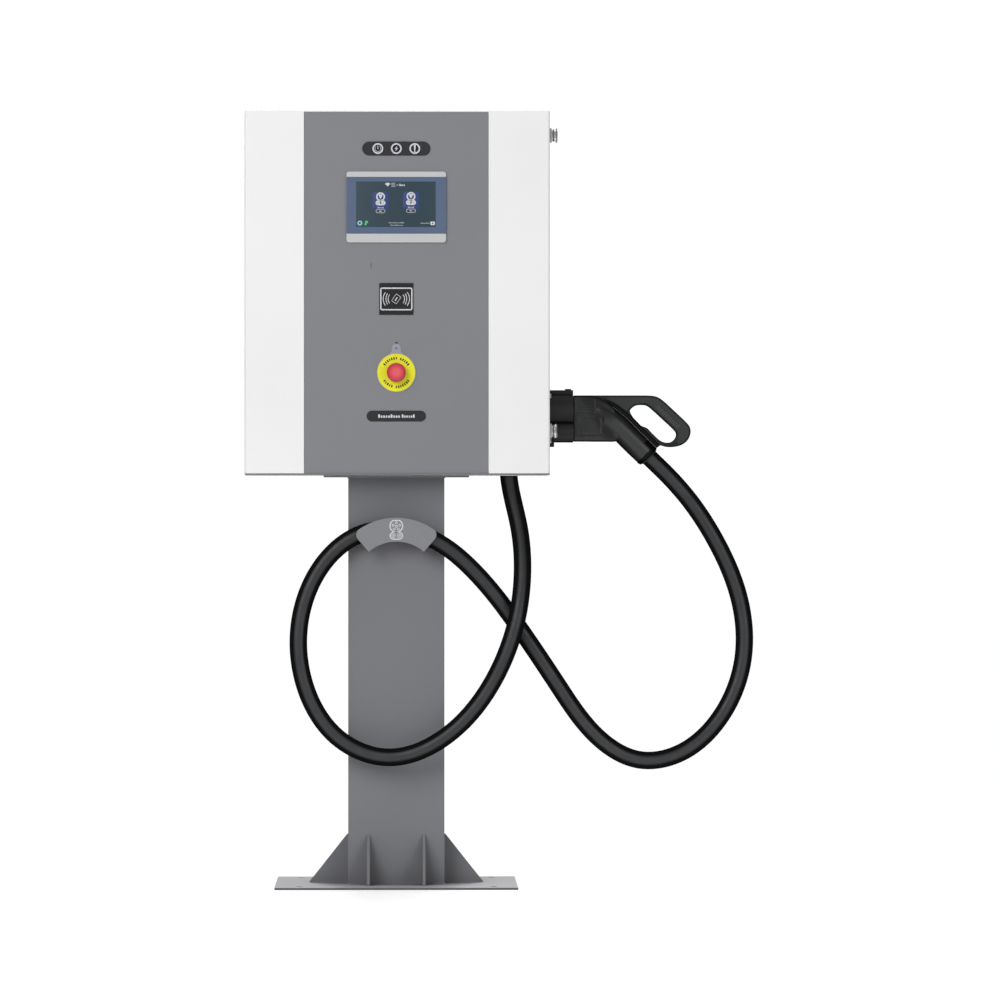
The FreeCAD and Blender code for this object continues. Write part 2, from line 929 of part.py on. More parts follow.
def make_breaker_lever():
    """A toggle that pivots about X, tipped down when off."""
    width, hub_dia, side_gap, axle_gap, grip_length, grip_thick = 46, 16, 13, 4, 22, 6
    hub = rod(breaker_x + side_gap, lever_y, rail_z, hub_dia, width, "x")
    axle_length = breaker_width - 2 * axle_gap
    axle = rod(breaker_x + axle_gap, lever_y, rail_z, lever_axle, axle_length, "x")
    grip = fresh("Part::Box")
    bind(grip, Length=width, Width=grip_length, Height=grip_thick)
    tipped = FreeCAD.Rotation(Vector(1, 0, 0), 30)
    place(grip, breaker_x + side_gap, lever_y - 17.5, rail_z - 13.6, tipped)
    keep("breaker_lever", joined(hub, axle, grip))


def make_energy_meter():
    left, width, half, depth = -115, 70, 45, 50
    inset, face_half, face_rise = 10, 24, 6
    front, right = rail_front - depth, left + width
    case = box(left, front, rail_z - half, right, rail_front, rail_z + half)
    face = box(
        left + inset,
        front - face_rise,
        rail_z - face_half,
        right - inset,
        front,
        rail_z + face_half,
    )
    keep("energy_meter", joined(case, face))


def make_contactors():
    """Two sealed DC contactors with screw terminals on their front."""
    pieces = []
    can_dia, can_length, post_dia, post_spread = 56, 60, 12, 16
    can_front = plate_front - can_length
    post_length = can_front - terminal_front
    for x in (60, 140):
        can = rod(x, can_front, terminal_z, can_dia, can_length, "y")
        posts = [
            rod(x + post_spread * side, terminal_front, terminal_z, post_dia, post_length, "y")
            for side in (-1, 1)
        ]
        pieces.append(joined(can, *posts))
    keep("dc_contactors", together(*pieces))


def make_control_board():
    """A circuit board on four pillars; each part on it has an x, a z, a width, a height and a rise."""
    left, low = size(-235), cabinet_bottom + 420
    width, height, thick, inset, pillar = 150, 180, 1.6, 8, 8
    face = plate_front - 14
    rear = face + thick
    board = box(left, face, low, left + width, rear, low + height)
    posts = [
        rod(left + dx, rear, low + dz, pillar, plate_front - rear, "y")
        for dx in (inset, width - inset)
        for dz in (inset, height - inset)
    ]
    chips = [
        box(left + dx, face - rise, low + dz, left + dx + wide, face, low + dz + tall)
        for dx, dz, wide, tall, rise in (
            (20, 30, 40, 40, 4),
            (80, 20, 50, 25, 12),
            (85, 70, 22, 60, 16),
            (25, 100, 36, 50, 10),
        )
    ]
    keep("control_board", joined(board, *posts, *chips))


def make_inner_cables():
    """The supply, up the column to the breaker, and the two leads to the charging cable's end."""
    middle = float(breaker_x) + breaker_width / 2
    under_breaker = float(rail_z) - breaker_half - 3
    back = float(breaker_front) + 40
    supply_radius, lead_radius = 11, 5
    supply_path = [
        (0, 0, 80),
        (0, 0, 300),
        (0, 0, 700),
        (-10, 0, 800),
        (middle + 50, back - 10, under_breaker - 46),
        (middle, back, under_breaker - 12),
        (middle, back, under_breaker),
    ]
    shaped("supply_cable", pipe_through(supply_path, supply_radius))
    leads = []
    level, start = float(terminal_z), float(terminal_front) - 2
    end_x, end_y = float(dim.grommet_x), float(dim.grommet_y)
    for x, shift in ((44, -6), (156, 6)):
        lead_path = [
            (x, start, level),
            (x, start - 8, level),
            (x + shift, start - 23, level - 5),
            (end_x + shift, end_y, 862),
            (end_x + shift, end_y, 840),
        ]
        leads.append(pipe_through(lead_path, lead_radius))
    shaped("output_leads", Part.Compound(leads))


# --------------------------------------------------------------------------------------------------
# Door
# --------------------------------------------------------------------------------------------------


def opening(half_width, z, half_height):
    """A rectangular cutter through the door's skin and front panel, centred across the door."""
    front, rear = dim.door_front - PAST, skin_rear + PAST
    return box(-half_width, front, z - half_height, half_width, rear, z + half_height)


def door_openings():
    """What the display, lamps, card reader and emergency stop need through the door's front."""
    front = dim.door_front - PAST
    through = skin_rear + PAST - front
    pipe_hole = dim.lens_dia - 4
    lens_holes = [
        rod(dim.lens_pitch * i, front, dim.pill_z, pipe_hole, through, "y") for i in (-1, 0, 1)
    ]
    screen = opening(dim.screen_width / 2 + 2, dim.display_z, dim.screen_height / 2 + 2)
    reader = opening(antenna_half_x + 1, dim.reader_z, antenna_half_z + 1)
    button = rod(0, front, dim.stop_z, stop_hole, through, "y")
    return lens_holes + [screen, reader, button]


def make_door_shell():
    """A folded pan with a sunk centre, a welded inner frame and holes for its fittings."""
    body = doc.addObject("PartDesign::Body", "door_pan")
    outline = sketch_on(body, "XZ_Plane", -dim.door_rear)
    draw_rectangle(outline, door_left, dim.door_bottom, door_right, cabinet_top)
    pad(body, outline, dim.door_rear - dim.door_front)

    middle_y = float(dim.door_front + dim.door_rear) / 2

    def front_upright(edge):
        return runs_along(Vector(0, 0, 1))(edge) and edge.CenterOfMass.y < middle_y

    round_edges(body, dim.door_round, front_upright)
    half_panel = dim.panel_width / 2
    rear = dim.door_rear + PAST
    low, high = dim.door_bottom + dim.sheet, cabinet_top - dim.sheet
    strip = half_panel + dim.sheet
    left_cavity = box(door_left + dim.sheet, door_skin, low, -strip, rear, high)
    right_cavity = box(strip, door_skin, low, door_right - dim.sheet, rear, high)
    centre_cavity = box(-strip - PAST, skin_rear, low, strip + PAST, rear, high)
    sunk = box(
        -half_panel,
        dim.door_front - PAST,
        dim.door_bottom - PAST,
        half_panel,
        panel_rear,
        dim.panel_top,
    )
    lock_front = door_right - dim.sheet - PAST
    lock_hole, through = dim.barrel_dia + 0.4, dim.sheet + 2 * PAST
    lock_holes = [
        rod(lock_front, dim.lock_y, z, lock_hole, through, "x")
        for z in (dim.lock_low, dim.lock_high)
    ]
    cavities = [left_cavity, right_cavity, centre_cavity, sunk]
    pan = cut(body, *cavities, *door_openings(), *lock_holes)
    side, end = dim.jamb_side - frame_inset, dim.jamb_end - frame_inset
    frame_left, frame_right = cabinet_left + side, cabinet_right - side
    frame_low, frame_high = cabinet_bottom + end, cabinet_top - end
    frame_front = door_skin - 0.5
    outer = box(frame_left, frame_front, frame_low, frame_right, dim.frame_rear, frame_high)
    inner = box(
        frame_left + dim.sheet,
        frame_front - PAST,
        frame_low + dim.sheet,
        frame_right - dim.sheet,
        dim.door_rear,
        frame_high - dim.sheet,
    )
    middle = box(
        -strip,
        frame_front - PAST,
        frame_low - PAST,
        strip,
        skin_rear - 0.5,
        frame_high + PAST,
    )
    keep("door_shell", joined(pan, cut(outer, inner, middle)))


def make_front_panel():
    play = 0.4
    half = dim.panel_width / 2 - play
    top = dim.panel_top - play
    sheet_metal = box(-half, panel_front, dim.door_bottom, half, panel_rear, top)
    keep("front_panel", cut(sheet_metal, *door_openings()))


def make_display():
    """A bezel with a sunk channel, the glass that lies in it, and the screen module behind."""
    bezel_thick, channel_depth, corner = 4, 2, 5.5
    bezel = rounded_plate(
        "display_bezel",
        0,
        dim.display_z,
        dim.display_width,
        dim.display_height,
        corner,
        panel_front,
        bezel_thick,
    )
    glass_z = dim.display_z + dim.glass_shift
    low, high = glass_z - dim.glass_height / 2, glass_z + dim.glass_height / 2
    edge = dim.display_width / 2
    channel = sketch_on(bezel, "XZ_Plane", bezel_thick - panel_front)
    draw_rectangle(channel, -edge - PAST, low, edge + PAST, high)
    pocket(bezel, channel, channel_depth)
    window = sketch_on(bezel, "XZ_Plane", -panel_front)
    half_x, half_z = dim.screen_width / 2, dim.screen_height / 2
    draw_rectangle(window, -half_x, dim.display_z - half_z, half_x, dim.display_z + half_z)
    pocket(bezel, window)
    seat_gap = 0.05
    glass = sketched_body("display_glass")
    pane = sketch_on(glass, "XZ_Plane", bezel_thick - channel_depth + seat_gap - panel_front)
    draw_rectangle(pane, -edge, low + 0.1, edge, high - 0.1)
    pad(glass, pane, channel_depth - seat_gap)
    half_x, half_z = half_x - 1, half_z - 1
    border, depth = 12, 22
    low, high = dim.display_z - half_z, dim.display_z + half_z
    screen = box(-half_x, panel_front - 1, low, half_x, skin_rear, high)
    housing = box(
        -half_x - border,
        skin_rear,
        low - border,
        half_x + border,
        skin_rear + depth,
        high + border,
    )
    keep("display_module", joined(screen, housing))


def make_indicator():
    """A slot-shaped plate with three round seats, and the lens and light pipe of each lamp."""
    plate_thick, disc_thick, seat_play, pipe_past = 1.5, 1.3, 0.1, 2
    plate = sketched_body("indicator_plate")
    outline = sketch_on(plate, "XZ_Plane", -panel_front)
    draw_slot(outline, 0, dim.pill_z, dim.pill_width, dim.pill_height)
    pad(plate, outline, plate_thick)
    seats = sketch_on(plate, "XZ_Plane", -panel_front)
    for i in (-1, 0, 1):
        draw_circle(seats, dim.lens_pitch * i, dim.pill_z, dim.lens_dia / 2 + seat_play)
    pocket(plate, seats)
    lenses = []
    pipe_length = skin_rear + pipe_past - panel_front
    for i in (-1, 0, 1):
        x = dim.lens_pitch * i
        disc = rod(x, panel_front - disc_thick, dim.pill_z, dim.lens_dia, disc_thick, "y")
        pipe = rod(x, panel_front, dim.pill_z, dim.lens_dia - 4.4, pipe_length, "y")
        lenses.append(joined(disc, pipe))
    keep("indicator_lenses", together(*lenses))


def make_card_reader():
    window_thick, corner, border, depth = 1.5, 1.5, 9, 14
    rounded_plate(
        "card_reader_window",
        0,
        dim.reader_z,
        dim.reader_width,
        dim.reader_height,
        corner,
        panel_front,
        window_thick,
    )
    low, high = dim.reader_z - antenna_half_z, dim.reader_z + antenna_half_z
    antenna = box(-antenna_half_x, panel_front, low, antenna_half_x, skin_rear, high)
    case = box(
        -antenna_half_x - border,
        skin_rear,
        low - border,
        antenna_half_x + border,
        skin_rear + depth,
        high + border,
    )
    keep("card_reader_module", joined(antenna, case))


def make_label():
    thick = 0.8
    label = sketched_body("estop_label")
    outline = sketch_on(label, "XZ_Plane", -panel_front)
    draw_slot(outline, 0, dim.label_z, dim.label_width, dim.label_height)
    pad(label, outline, thick)


# --------------------------------------------------------------------------------------------------
# Emergency stop
# --------------------------------------------------------------------------------------------------

stop_ring_front = panel_front - dim.stop_plate * 2


def stop_lug(half_lug, lug_middle):
    """The lug's straight neck, which widens where it meets the disc."""
    body = doc.addObject("PartDesign::Body", "stop_lug")
    outline = sketch_on(body, "XZ_Plane", -panel_front)
    neck, root, root_half = lug_middle - 5, lug_middle - 13, half_lug + 6
    right_side = [(root_half, dim.stop_z), (root_half, root), (half_lug, neck), (half_lug, lug_middle)]
    left_side = [(-x, z) for x, z in reversed(right_side)]
    draw_polygon(outline, right_side + left_side)
    pad(body, outline, dim.stop_plate)
    return body


def make_stop_plates():
    """A round back plate with a lug above, and the label ring in front of it."""
    plate_front_y = panel_front - dim.stop_plate
    disc = rod(0, plate_front_y, dim.stop_z, dim.stop_disc, dim.stop_plate, "y")
    lug_middle = dim.stop_z + dim.lug_rise
    lug = stop_lug(dim.lug_width / 2, lug_middle)
    top = rod(0, plate_front_y, lug_middle, dim.lug_width, dim.stop_plate, "y")
    through = dim.stop_plate + 2 * PAST
    hole = rod(0, plate_front_y - PAST, dim.stop_z, stop_hole, through, "y")
    keep("estop_backplate", cut(joined(disc, lug, top), hole))
    ring_body = rod(0, stop_ring_front, dim.stop_z, dim.stop_ring, dim.stop_plate, "y")
    ring_hole = rod(0, stop_ring_front - PAST, dim.stop_z, stop_hole, through, "y")
    keep("estop_ring", cut(ring_body, ring_hole))


def make_stop_switch():
    """A fixed collar through the door, the sliding stem, the twist-to-release head and contacts."""
    z, front = dim.stop_z, stop_ring_front
    rim_dia, rim_thick, nut_dia, nut_thick, barrel_past = 29, 3, 30, 5, 14
    rim = rod(0, front - rim_thick, z, rim_dia, rim_thick, "y")
    barrel_end = skin_rear + barrel_past
    barrel = rod(0, front, z, dim.stop_barrel, barrel_end - front, "y")
    nut = rod(0, skin_rear, z, nut_dia, nut_thick, "y")
    bore_front = front - rim_thick - PAST
    bore_dia = dim.stop_stem + dim.pin_play * 2
    bore = rod(0, bore_front, z, bore_dia, barrel_end + PAST - bore_front, "y")
    keep("estop_collar", cut(joined(rim, barrel, nut), bore))
    grip, disc_thick, crown, bevel = 6, 9, 3, 4
    head_rear = front - dim.stop_travel
    stem_front = head_rear - grip
    stem_end = skin_rear + barrel_past - 5
    keep("estop_stem", rod(0, stem_front, z, dim.stop_stem, stem_end - stem_front, "y"))
    disc_front = head_rear - disc_thick
    disc = rod(0, disc_front, z, dim.stop_head, disc_thick, "y")
    top = taper(0, disc_front - crown, z, dim.stop_head - bevel * 2, dim.stop_head, crown, "y")
    socket = rod(0, stem_front, z, bore_dia, grip + PAST, "y")
    keep("estop_head", cut(joined(disc, top), socket))
    half_x, half_z, depth, screw_dia, screw_rise = 15, 20, 22, 5, 2
    block = box(-half_x, barrel_end, z - half_z, half_x, barrel_end + depth, z + half_z)
    screws = [
        rod(x, barrel_end - screw_rise, z - 14, screw_dia, screw_rise, "y") for x in (-9, 9)
    ]
    keep("estop_contact_block", joined(block, *screws))


# --------------------------------------------------------------------------------------------------
# Door hinges and locks
# --------------------------------------------------------------------------------------------------


def make_hinges():
    """Two concealed hinges: swan-neck body brackets clear the door's edge as it swings."""
    x, y, radius = float(hinge_x), float(dim.hinge_y), 6.0
    jamb = float(dim.body_front)
    brackets, door_brackets, pins = [], [], []
    pin, play = float(dim.pin_dia), float(dim.pin_play)
    half, ear, gap = 10.0, 3.0, 1.0
    for z in (float(dim.hinge_low), float(dim.hinge_high)):
        neck = Part.makePolygon(
            [
                Vector(x, y + 2, z - half),
                Vector(x, y - 6, z - half),
                Vector(x + 26, y - 6, z - half),
                Vector(x + 31, y - 1, z - half),
                Vector(x + 31, jamb, z - half),
                Vector(x + 16.5, jamb, z - half),
                Vector(x + 16.5, jamb - 2.5, z - half),
                Vector(x + 28, jamb - 2.5, z - half),
                Vector(x + 28, y, z - half),
                Vector(x + 25, y - 3, z - half),
                Vector(x + 5, y - 3, z - half),
                Vector(x, y + 2, z - half),
            ]
        )
        arm = Part.Face(neck).extrude(Vector(0, 0, 2 * half))
        knuckle = Part.makeCylinder(radius, 2 * half, Vector(x, y, z - half))
        hole = Part.makeCylinder(pin / 2 + play, 2 * half, Vector(x, y, z - half))
        brackets.append(arm.fuse(knuckle).cut(hole).removeSplitter())
        inner_wall = float(door_left + dim.sheet)
        skin = float(door_skin)
        low = z - half - gap - ear
        web = Part.makeBox(
            x + 8 - inner_wall, 2, 2 * (half + gap + ear), Vector(inner_wall, skin, low)
        )
        plates = web
        for level in (low, z + half + gap):
            plate = Part.makeBox(
                x + 6 - inner_wall, y - skin, ear, Vector(inner_wall, skin, level)
            )
            eye = Part.makeCylinder(radius, ear, Vector(x, y, level))
            plates = plates.fuse(plate).fuse(eye)
        bore = Part.makeCylinder(pin / 2, 6 * half, Vector(x, y, z - 3 * half))
        door_brackets.append(plates.cut(bore).removeSplitter())
        shaft = Part.makeCylinder(pin / 2, 2 * (half + gap + ear) + 2, Vector(x, y, low - 2))
        head = Part.makeCylinder(pin / 2 + 1.5, 2, Vector(x, y, z + half + gap + ear))
        pins.append(shaft.fuse(head).removeSplitter())
    shaped("hinge_brackets", Part.Compound(brackets))
    shaped("door_hinge_brackets", Part.Compound(door_brackets))
    shaped("hinge_pins", Part.Compound(pins))


def make_lock_bodies():
    """The fixed barrels with their nuts, and the hooks in the cabinet that the cams turn behind."""
    barrels, nuts, keepers = [], [], []
    flange_thick, barrel_length, nut_dia, nut_thick = 4, 23, 25, 5
    wall_in = door_right - dim.sheet
    for z in (dim.lock_low, dim.lock_high):
        flange = rod(door_right, dim.lock_y, z, dim.lock_dia, flange_thick, "x")
        barrel_left = door_right - barrel_length
        barrel = rod(barrel_left, dim.lock_y, z, dim.barrel_dia, barrel_length, "x")
        bore_dia = dim.plug_dia + dim.pin_play * 2
        bore = rod(barrel_left - PAST, dim.lock_y, z, bore_dia, barrel_length * 2, "x")
        barrels.append(cut(joined(flange, barrel), bore))
        nut_left = wall_in - nut_thick
        nuts.append(ring(nut_left, dim.lock_y, z, nut_dia, dim.barrel_dia, nut_thick, "x"))
        low, high = z + 14.5, z + 30
        arm_left = cabinet_right - 18.5
        foot = box(arm_left, dim.body_front - 2, low, cabinet_right - 3, dim.body_front, high)
        arm = box(arm_left, dim.lock_y - 11.5, low, arm_left + 2, dim.body_front, high)
        tab = box(arm_left - 14, dim.lock_y - 11.5, low, arm_left, dim.lock_y - 9, high)
        keepers.append(joined(foot, arm, tab))
    keep("lock_barrels", together(*barrels))
    keep("lock_nuts", together(*nuts))
    keep("lock_keepers", together(*keepers))


def make_lock_plug(label, z):
    """The part that the key turns: a domed cap outside and the cam inside, resting unlocked."""
    y = dim.lock_y
    outside = door_right + 4
    waist_length, cap_length, dome_rise = 5.5, 4, 1.5
    cap_dia = dim.lock_dia - 1
    cap_left = outside + waist_length
    dome_left = cap_left + cap_length
    waist = rod(outside, y, z, dim.lock_dia - 6, waist_length, "x")
    cap = rod(cap_left, y, z, cap_dia, cap_length, "x")
    dome = taper(dome_left, y, z, cap_dia, cap_dia - 6, dome_rise, "x")
    slot_half_y, slot_half_z = 5, 1
    slot_left, slot_right = dome_left - dome_rise, dome_left + dome_rise + PAST
    key_slot = box(slot_left, y - slot_half_y, z - slot_half_z, slot_right, y + slot_half_y, z + 1)
    tail_left = door_right - 29
    tail = rod(tail_left, y, z, dim.plug_dia, outside - tail_left, "x")
    cam_half, cam_thick = 7, 3
    cam_end = y + dim.cam_reach
    cam = box(tail_left, y - cam_half, z - cam_half, tail_left + cam_thick, cam_end, z + cam_half)
    keep(label, cut(joined(waist, cap, dome, tail, cam), key_slot))


# --------------------------------------------------------------------------------------------------
# Holster, gun and charging cable
# --------------------------------------------------------------------------------------------------


def holster_screw_places():
    """The holster's screws through the cabinet's side wall, as pairs of y and z."""
    half_spread = 43
    return [(dim.gun_y + half_spread * side, size(z)) for side in (-1, 1) for z in (858, 944)]


def two_part_bar(near, far, round_dia, low_width, low_height, waist):
    """A bar along X with a round upper part and a flat-sided lower part, as a combined plug has."""
    length = size(far) - near
    upper = rod(near, dim.gun_y, dim.socket_z, round_dia, length, "x")
    reach = (size(low_width) - low_height) / 2
    half = size(low_height) / 2
    low_z = dim.socket_low_z
    ends = [
        rod(near, dim.gun_y + reach * side, low_z, low_height, length, "x") for side in (-1, 1)
    ]
    middle = box(near, dim.gun_y - reach, low_z - half, far, dim.gun_y + reach, low_z + half)
    half_waist = waist / 2
    bridge = box(near, dim.gun_y - half_waist, low_z, far, dim.gun_y + half_waist, dim.socket_z)
    return joined(upper, *ends, middle, bridge)


def make_holster():
    """A flanged sleeve shaped like the plug, with a ledge, a catch on top and a foot below."""
    wall, y = cabinet_right, dim.gun_y
    flange_thick, flange_half, flange_low, flange_high = 4, 50, 846.5, 957
    low_width, low_height, waist, sleeve_wall = 80, 42, 52, 4
    inside = sleeve_wall * 2
    flange_front = wall + flange_thick
    back = box(wall, y - flange_half, flange_low, flange_front, y + flange_half, flange_high)
    sleeve = two_part_bar(
        wall + 2, dim.socket_face, dim.socket_dia, low_width, low_height, waist
    )
    hollow = two_part_bar(
        wall + 6,
        dim.socket_face + PAST,
        dim.socket_dia - inside,
        low_width - inside,
        low_height - inside,
        waist - inside,
    )
    ledge_half, ledge_low, ledge_high = 20, 940, 956
    ledge = box(wall + 2, y - ledge_half, ledge_low, dim.socket_face, y + ledge_half, ledge_high)
    catch_half, catch_left, catch_right, catch_rise = 8, 327, 338.5, 2.6
    catch = box(
        catch_left,
        y - catch_half,
        ledge_high,
        catch_right,
        y + catch_half,
        ledge_high + catch_rise,
    )
    foot_half, foot_reach, foot_high = 32, 12.5, 858
    foot = box(wall + 2, y - foot_half, flange_low, wall + foot_reach, y + foot_half, foot_high)
    through = flange_thick + 2 * PAST
    holes = [
        rod(wall - PAST, hole_y, z, dim.holster_screw, through, "x")
        for hole_y, z in holster_screw_places()
    ]
    keep("holster_socket", cut(joined(back, sleeve, ledge, catch, foot), hollow, *holes))
    screws = []
    head_dia, head_rise, inner_length = 9, 2.5, 6
    for screw_y, z in holster_screw_places():
        length = inner_length + flange_thick
        shaft = rod(wall - inner_length, screw_y, z, dim.holster_screw, length, "x")
        screws.append(joined(shaft, rod(flange_front, screw_y, z, head_dia, head_rise, "x")))
    keep("holster_screws", together(*screws))


def make_gun_front_end():
    """The insulated nose that enters the holster, and the metal contacts it carries."""
    nose_left = dim.socket_face - 38
    nose_right = dim.socket_face + 0.5
    low_width, low_height, waist = 64, 27, 36
    nose = two_part_bar(
        nose_left, nose_right, dim.socket_dia - 14, low_width, low_height, waist
    )
    small, large, past_rear = 6, 10, 14
    small_places = [(0, 0), (-9, 9), (9, 9), (-15, -4), (15, -4), (-9, -14), (9, -14)]
    places = [(dy, dim.socket_z + dz, small, 8) for dy, dz in small_places]
    places += [(dy, dim.socket_low_z, large, 6) for dy in (-14, 14)]
    pins, holes = [], []
    for dy, z, dia, depth in places:
        y, pin_left = dim.gun_y + dy, nose_left + depth
        pins.append(rod(pin_left, y, z, dia, dim.socket_face + past_rear - pin_left, "x"))
        hole_left = nose_left - PAST
        holes.append(rod(hole_left, y, z, dia, nose_right + PAST - hole_left, "x"))
    keep("gun_nose", cut(nose, *holes))
    keep("gun_contacts", together(*pins))


def gun_grip_stations():
    """The grip's centre line, its slope in degrees and its radius, from the head to the cable."""
    return [
        (385, 908, -4, 30),
        (412, 897, -22, 29),
        (444, 873, -40, 26.5),
        (466, 851, -45, 25),
        (487, 829, -44, 22.5),
    ]


def make_gun_shells():
    """Two mirrored mouldings that close round the contacts and the cable's end."""
    y, half = float(dim.gun_y), float(dim.gun_half)
    near = float(dim.socket_face) + 0.5
    low, high, corner = 856, 946, 14
    profile = Part.makePolygon(
        [
            Vector(near, y - half, low),
            Vector(427, y - half, low),
            Vector(452, y - half, 885),
            Vector(425, y - half, 920),
            Vector(388, y - half, 942),
            Vector(372, y - half, high),
            Vector(near, y - half, high),
            Vector(near, y - half, low),
        ]
    )
    head = Part.Face(profile).extrude(Vector(0, 2 * half, 0))
    long_edges = [
        edge
        for edge in head.Edges
        if abs(abs(edge.CenterOfMass.y - y) - half) < 0.1 and edge.CenterOfMass.x > near + 1
    ]
    head = head.makeFillet(corner, long_edges)
    rings = []
    for x, z, slope, radius in gun_grip_stations():
        lean = math.radians(slope)
        normal = Vector(math.cos(lean), 0, math.sin(lean))
        rings.append(Part.Wire(Part.Circle(Vector(x, y, z), normal, radius).toShape()))
    grip = Part.makeLoft(rings, True)
    x, z, slope, radius = gun_grip_stations()[-1]
    lean = math.radians(slope)
    along = Vector(math.cos(lean), 0, math.sin(lean))
    end = Vector(x, y, z)
    bore_radius, bore_depth = float(dim.cable_dia) / 2 + 1, 26
    cable_bore = Part.makeCylinder(bore_radius, bore_depth + 4, end - along * bore_depth, along)
    bore_length, bore_half, wall = 60, 22, 7
    front_bore = Part.makeBox(
        bore_length,
        bore_half * 2,
        high - low - wall * 2,
        Vector(near - PAST, y - bore_half, low + wall),
    )
    solid = head.fuse(grip).cut(cable_bore).cut(front_bore).removeSplitter()
    reach = 400
    corner_x, corner_z = near - PAST, low - reach / 2
    front_half = Part.makeBox(reach, reach, reach, Vector(corner_x, y - reach, corner_z))
    rear_half = Part.makeBox(reach, reach, reach, Vector(corner_x, y, corner_z))
    shaped("gun_shell_front", solid.common(front_half))
    shaped("gun_shell_rear", solid.common(rear_half))
    return solid, end, along


def make_gun_handle(shell):
    """A closed loop over the grip, made of one moulded bar."""
    y, half = float(dim.gun_y), 14.0
    outer = [
        (372, 946),
        (506, 946),
        (519, 939),
        (565, 893),
        (569, 873),
        (559, 855),
        (537, 847),
        (513, 850),
        (470, 880),
        (430, 915),
        (392, 930),
    ]
    inner = [
        (451, 912),
        (455, 921),
        (466, 927.5),
        (487, 927),
        (540, 876),
        (543, 864),
        (533, 855),
        (516, 855),
        (487, 878),
        (470, 889.5),
    ]
    solids = []
    for outline in (outer, inner):
        corners = [Vector(x, y - half, z) for x, z in outline]
        face = Part.Face(Part.makePolygon(corners + corners[:1]))
        solids.append(face.extrude(Vector(0, 2 * half, 0)))
    loop = solids[0].cut(solids[1]).cut(shell)
    loop = max(loop.Solids, key=lambda solid: solid.Volume)
    shaped("gun_handle", loop)


def make_gun_boot(end, along):
    """A short rubber boot where the cable leaves the grip."""
    near_radius, far_radius, length = 22, 21, 5
    start = end + along * 0.2
    cone = Part.makeCone(near_radius, far_radius, length, start, along)
    bore_radius = float(dim.cable_dia) / 2 + 1.2
    bore = Part.makeCylinder(bore_radius, length + 2 * PAST, start - along * PAST, along)
    shaped("gun_boot", cone.cut(bore))


def make_charging_cable(grip_end, grip_along):
    """From the grommet down and up over the hook, then down again and up to the gun."""
    y_hook = float(column_front - dim.hook_plate_thick - dim.hook_gap / 2)
    y_gun = float(dim.gun_y)
    radius = dim.cable_dia / 2
    top = float(dim.hook_centre_z + dim.hook_inner + dim.saddle_thick + radius) + 1.2
    path = [
        (216.5, -8, 836),
        (217, -9, 797),
        (236, -45, 695),
        (242, -90, 590),
        (231, -112, 513),
        (187, -112, 398),
        (84, -104, 282),
        (-12, -96, 249),
        (-108, -90, 283),
        (-179, -84, 398),
        (-185, -78, 513),
        (-135, -74, 628),
        (-71, y_hook, 677),
        (0, y_hook, top),
        (73, y_hook, 666),
        (142, y_hook, 614),
        (232, y_hook, 504),
        (315, -62, 381),
        (392, -52, 283),
        (469, -42, 242),
        (547, -30, 254),
        (625, -15, 321),
        (671, -5, 434),
        (665, 2, 550),
        (618, 6, 666),
        (568, y_gun, 743),
        tuple(grip_end + grip_along * 42),
        tuple(grip_end + grip_along * 16),
        tuple(grip_end - grip_along * 6),
    ]
    shaped("charging_cable", pipe_through(path, radius))


# --------------------------------------------------------------------------------------------------
# The whole post
# --------------------------------------------------------------------------------------------------

make_base_plate()
make_column()
make_gussets()
make_top_flange()
make_flange_bolts()
make_cable_hook()
make_cabinet_body()
make_mounting_plate()
make_door_gasket()
make_cable_entry()
make_fan_frames()
make_fan_rotor("lower_fan_rotor", dim.fan_low)
make_fan_rotor("upper_fan_rotor", dim.fan_high)
make_power_module()
make_din_rail()
make_supply_breaker()
make_breaker_lever()
make_energy_meter()
make_contactors()
make_control_board()
make_inner_cables()
make_door_shell()
make_front_panel()
make_display()
make_indicator()
make_card_reader()
make_label()
make_stop_plates()
make_stop_switch()
make_hinges()
make_lock_bodies()
make_lock_plug("lower_lock_plug", dim.lock_low)
make_lock_plug("upper_lock_plug", dim.lock_high)
make_holster()
make_gun_front_end()
gun_shell, grip_end, grip_along = make_gun_shells()
make_gun_handle(gun_shell)
make_gun_boot(grip_end, grip_along)
make_charging_cable(grip_end, grip_along)

doc.recompute()
for thing in doc.Objects:
    if {"Invalid", "Error"} & set(thing.State):
        raise RuntimeError(f"{thing.Label} failed: {thing.State}")
for label, thing in nodes.items():
    if thing.Shape.isNull() or not thing.Shape.isValid():
        raise RuntimeError(f"{label} has no valid shape")

os.makedirs("parts", exist_ok=True)
for label, thing in nodes.items():
    thing.Shape.exportStep(os.path.join("parts", f"{label}.step"))
print(len(nodes), "sub-parts")
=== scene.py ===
"""The looks of a free-standing DC charging post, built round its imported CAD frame.

Shapes are drawn in millimetres. Materials, lights and the camera are in metres.
"""

import math

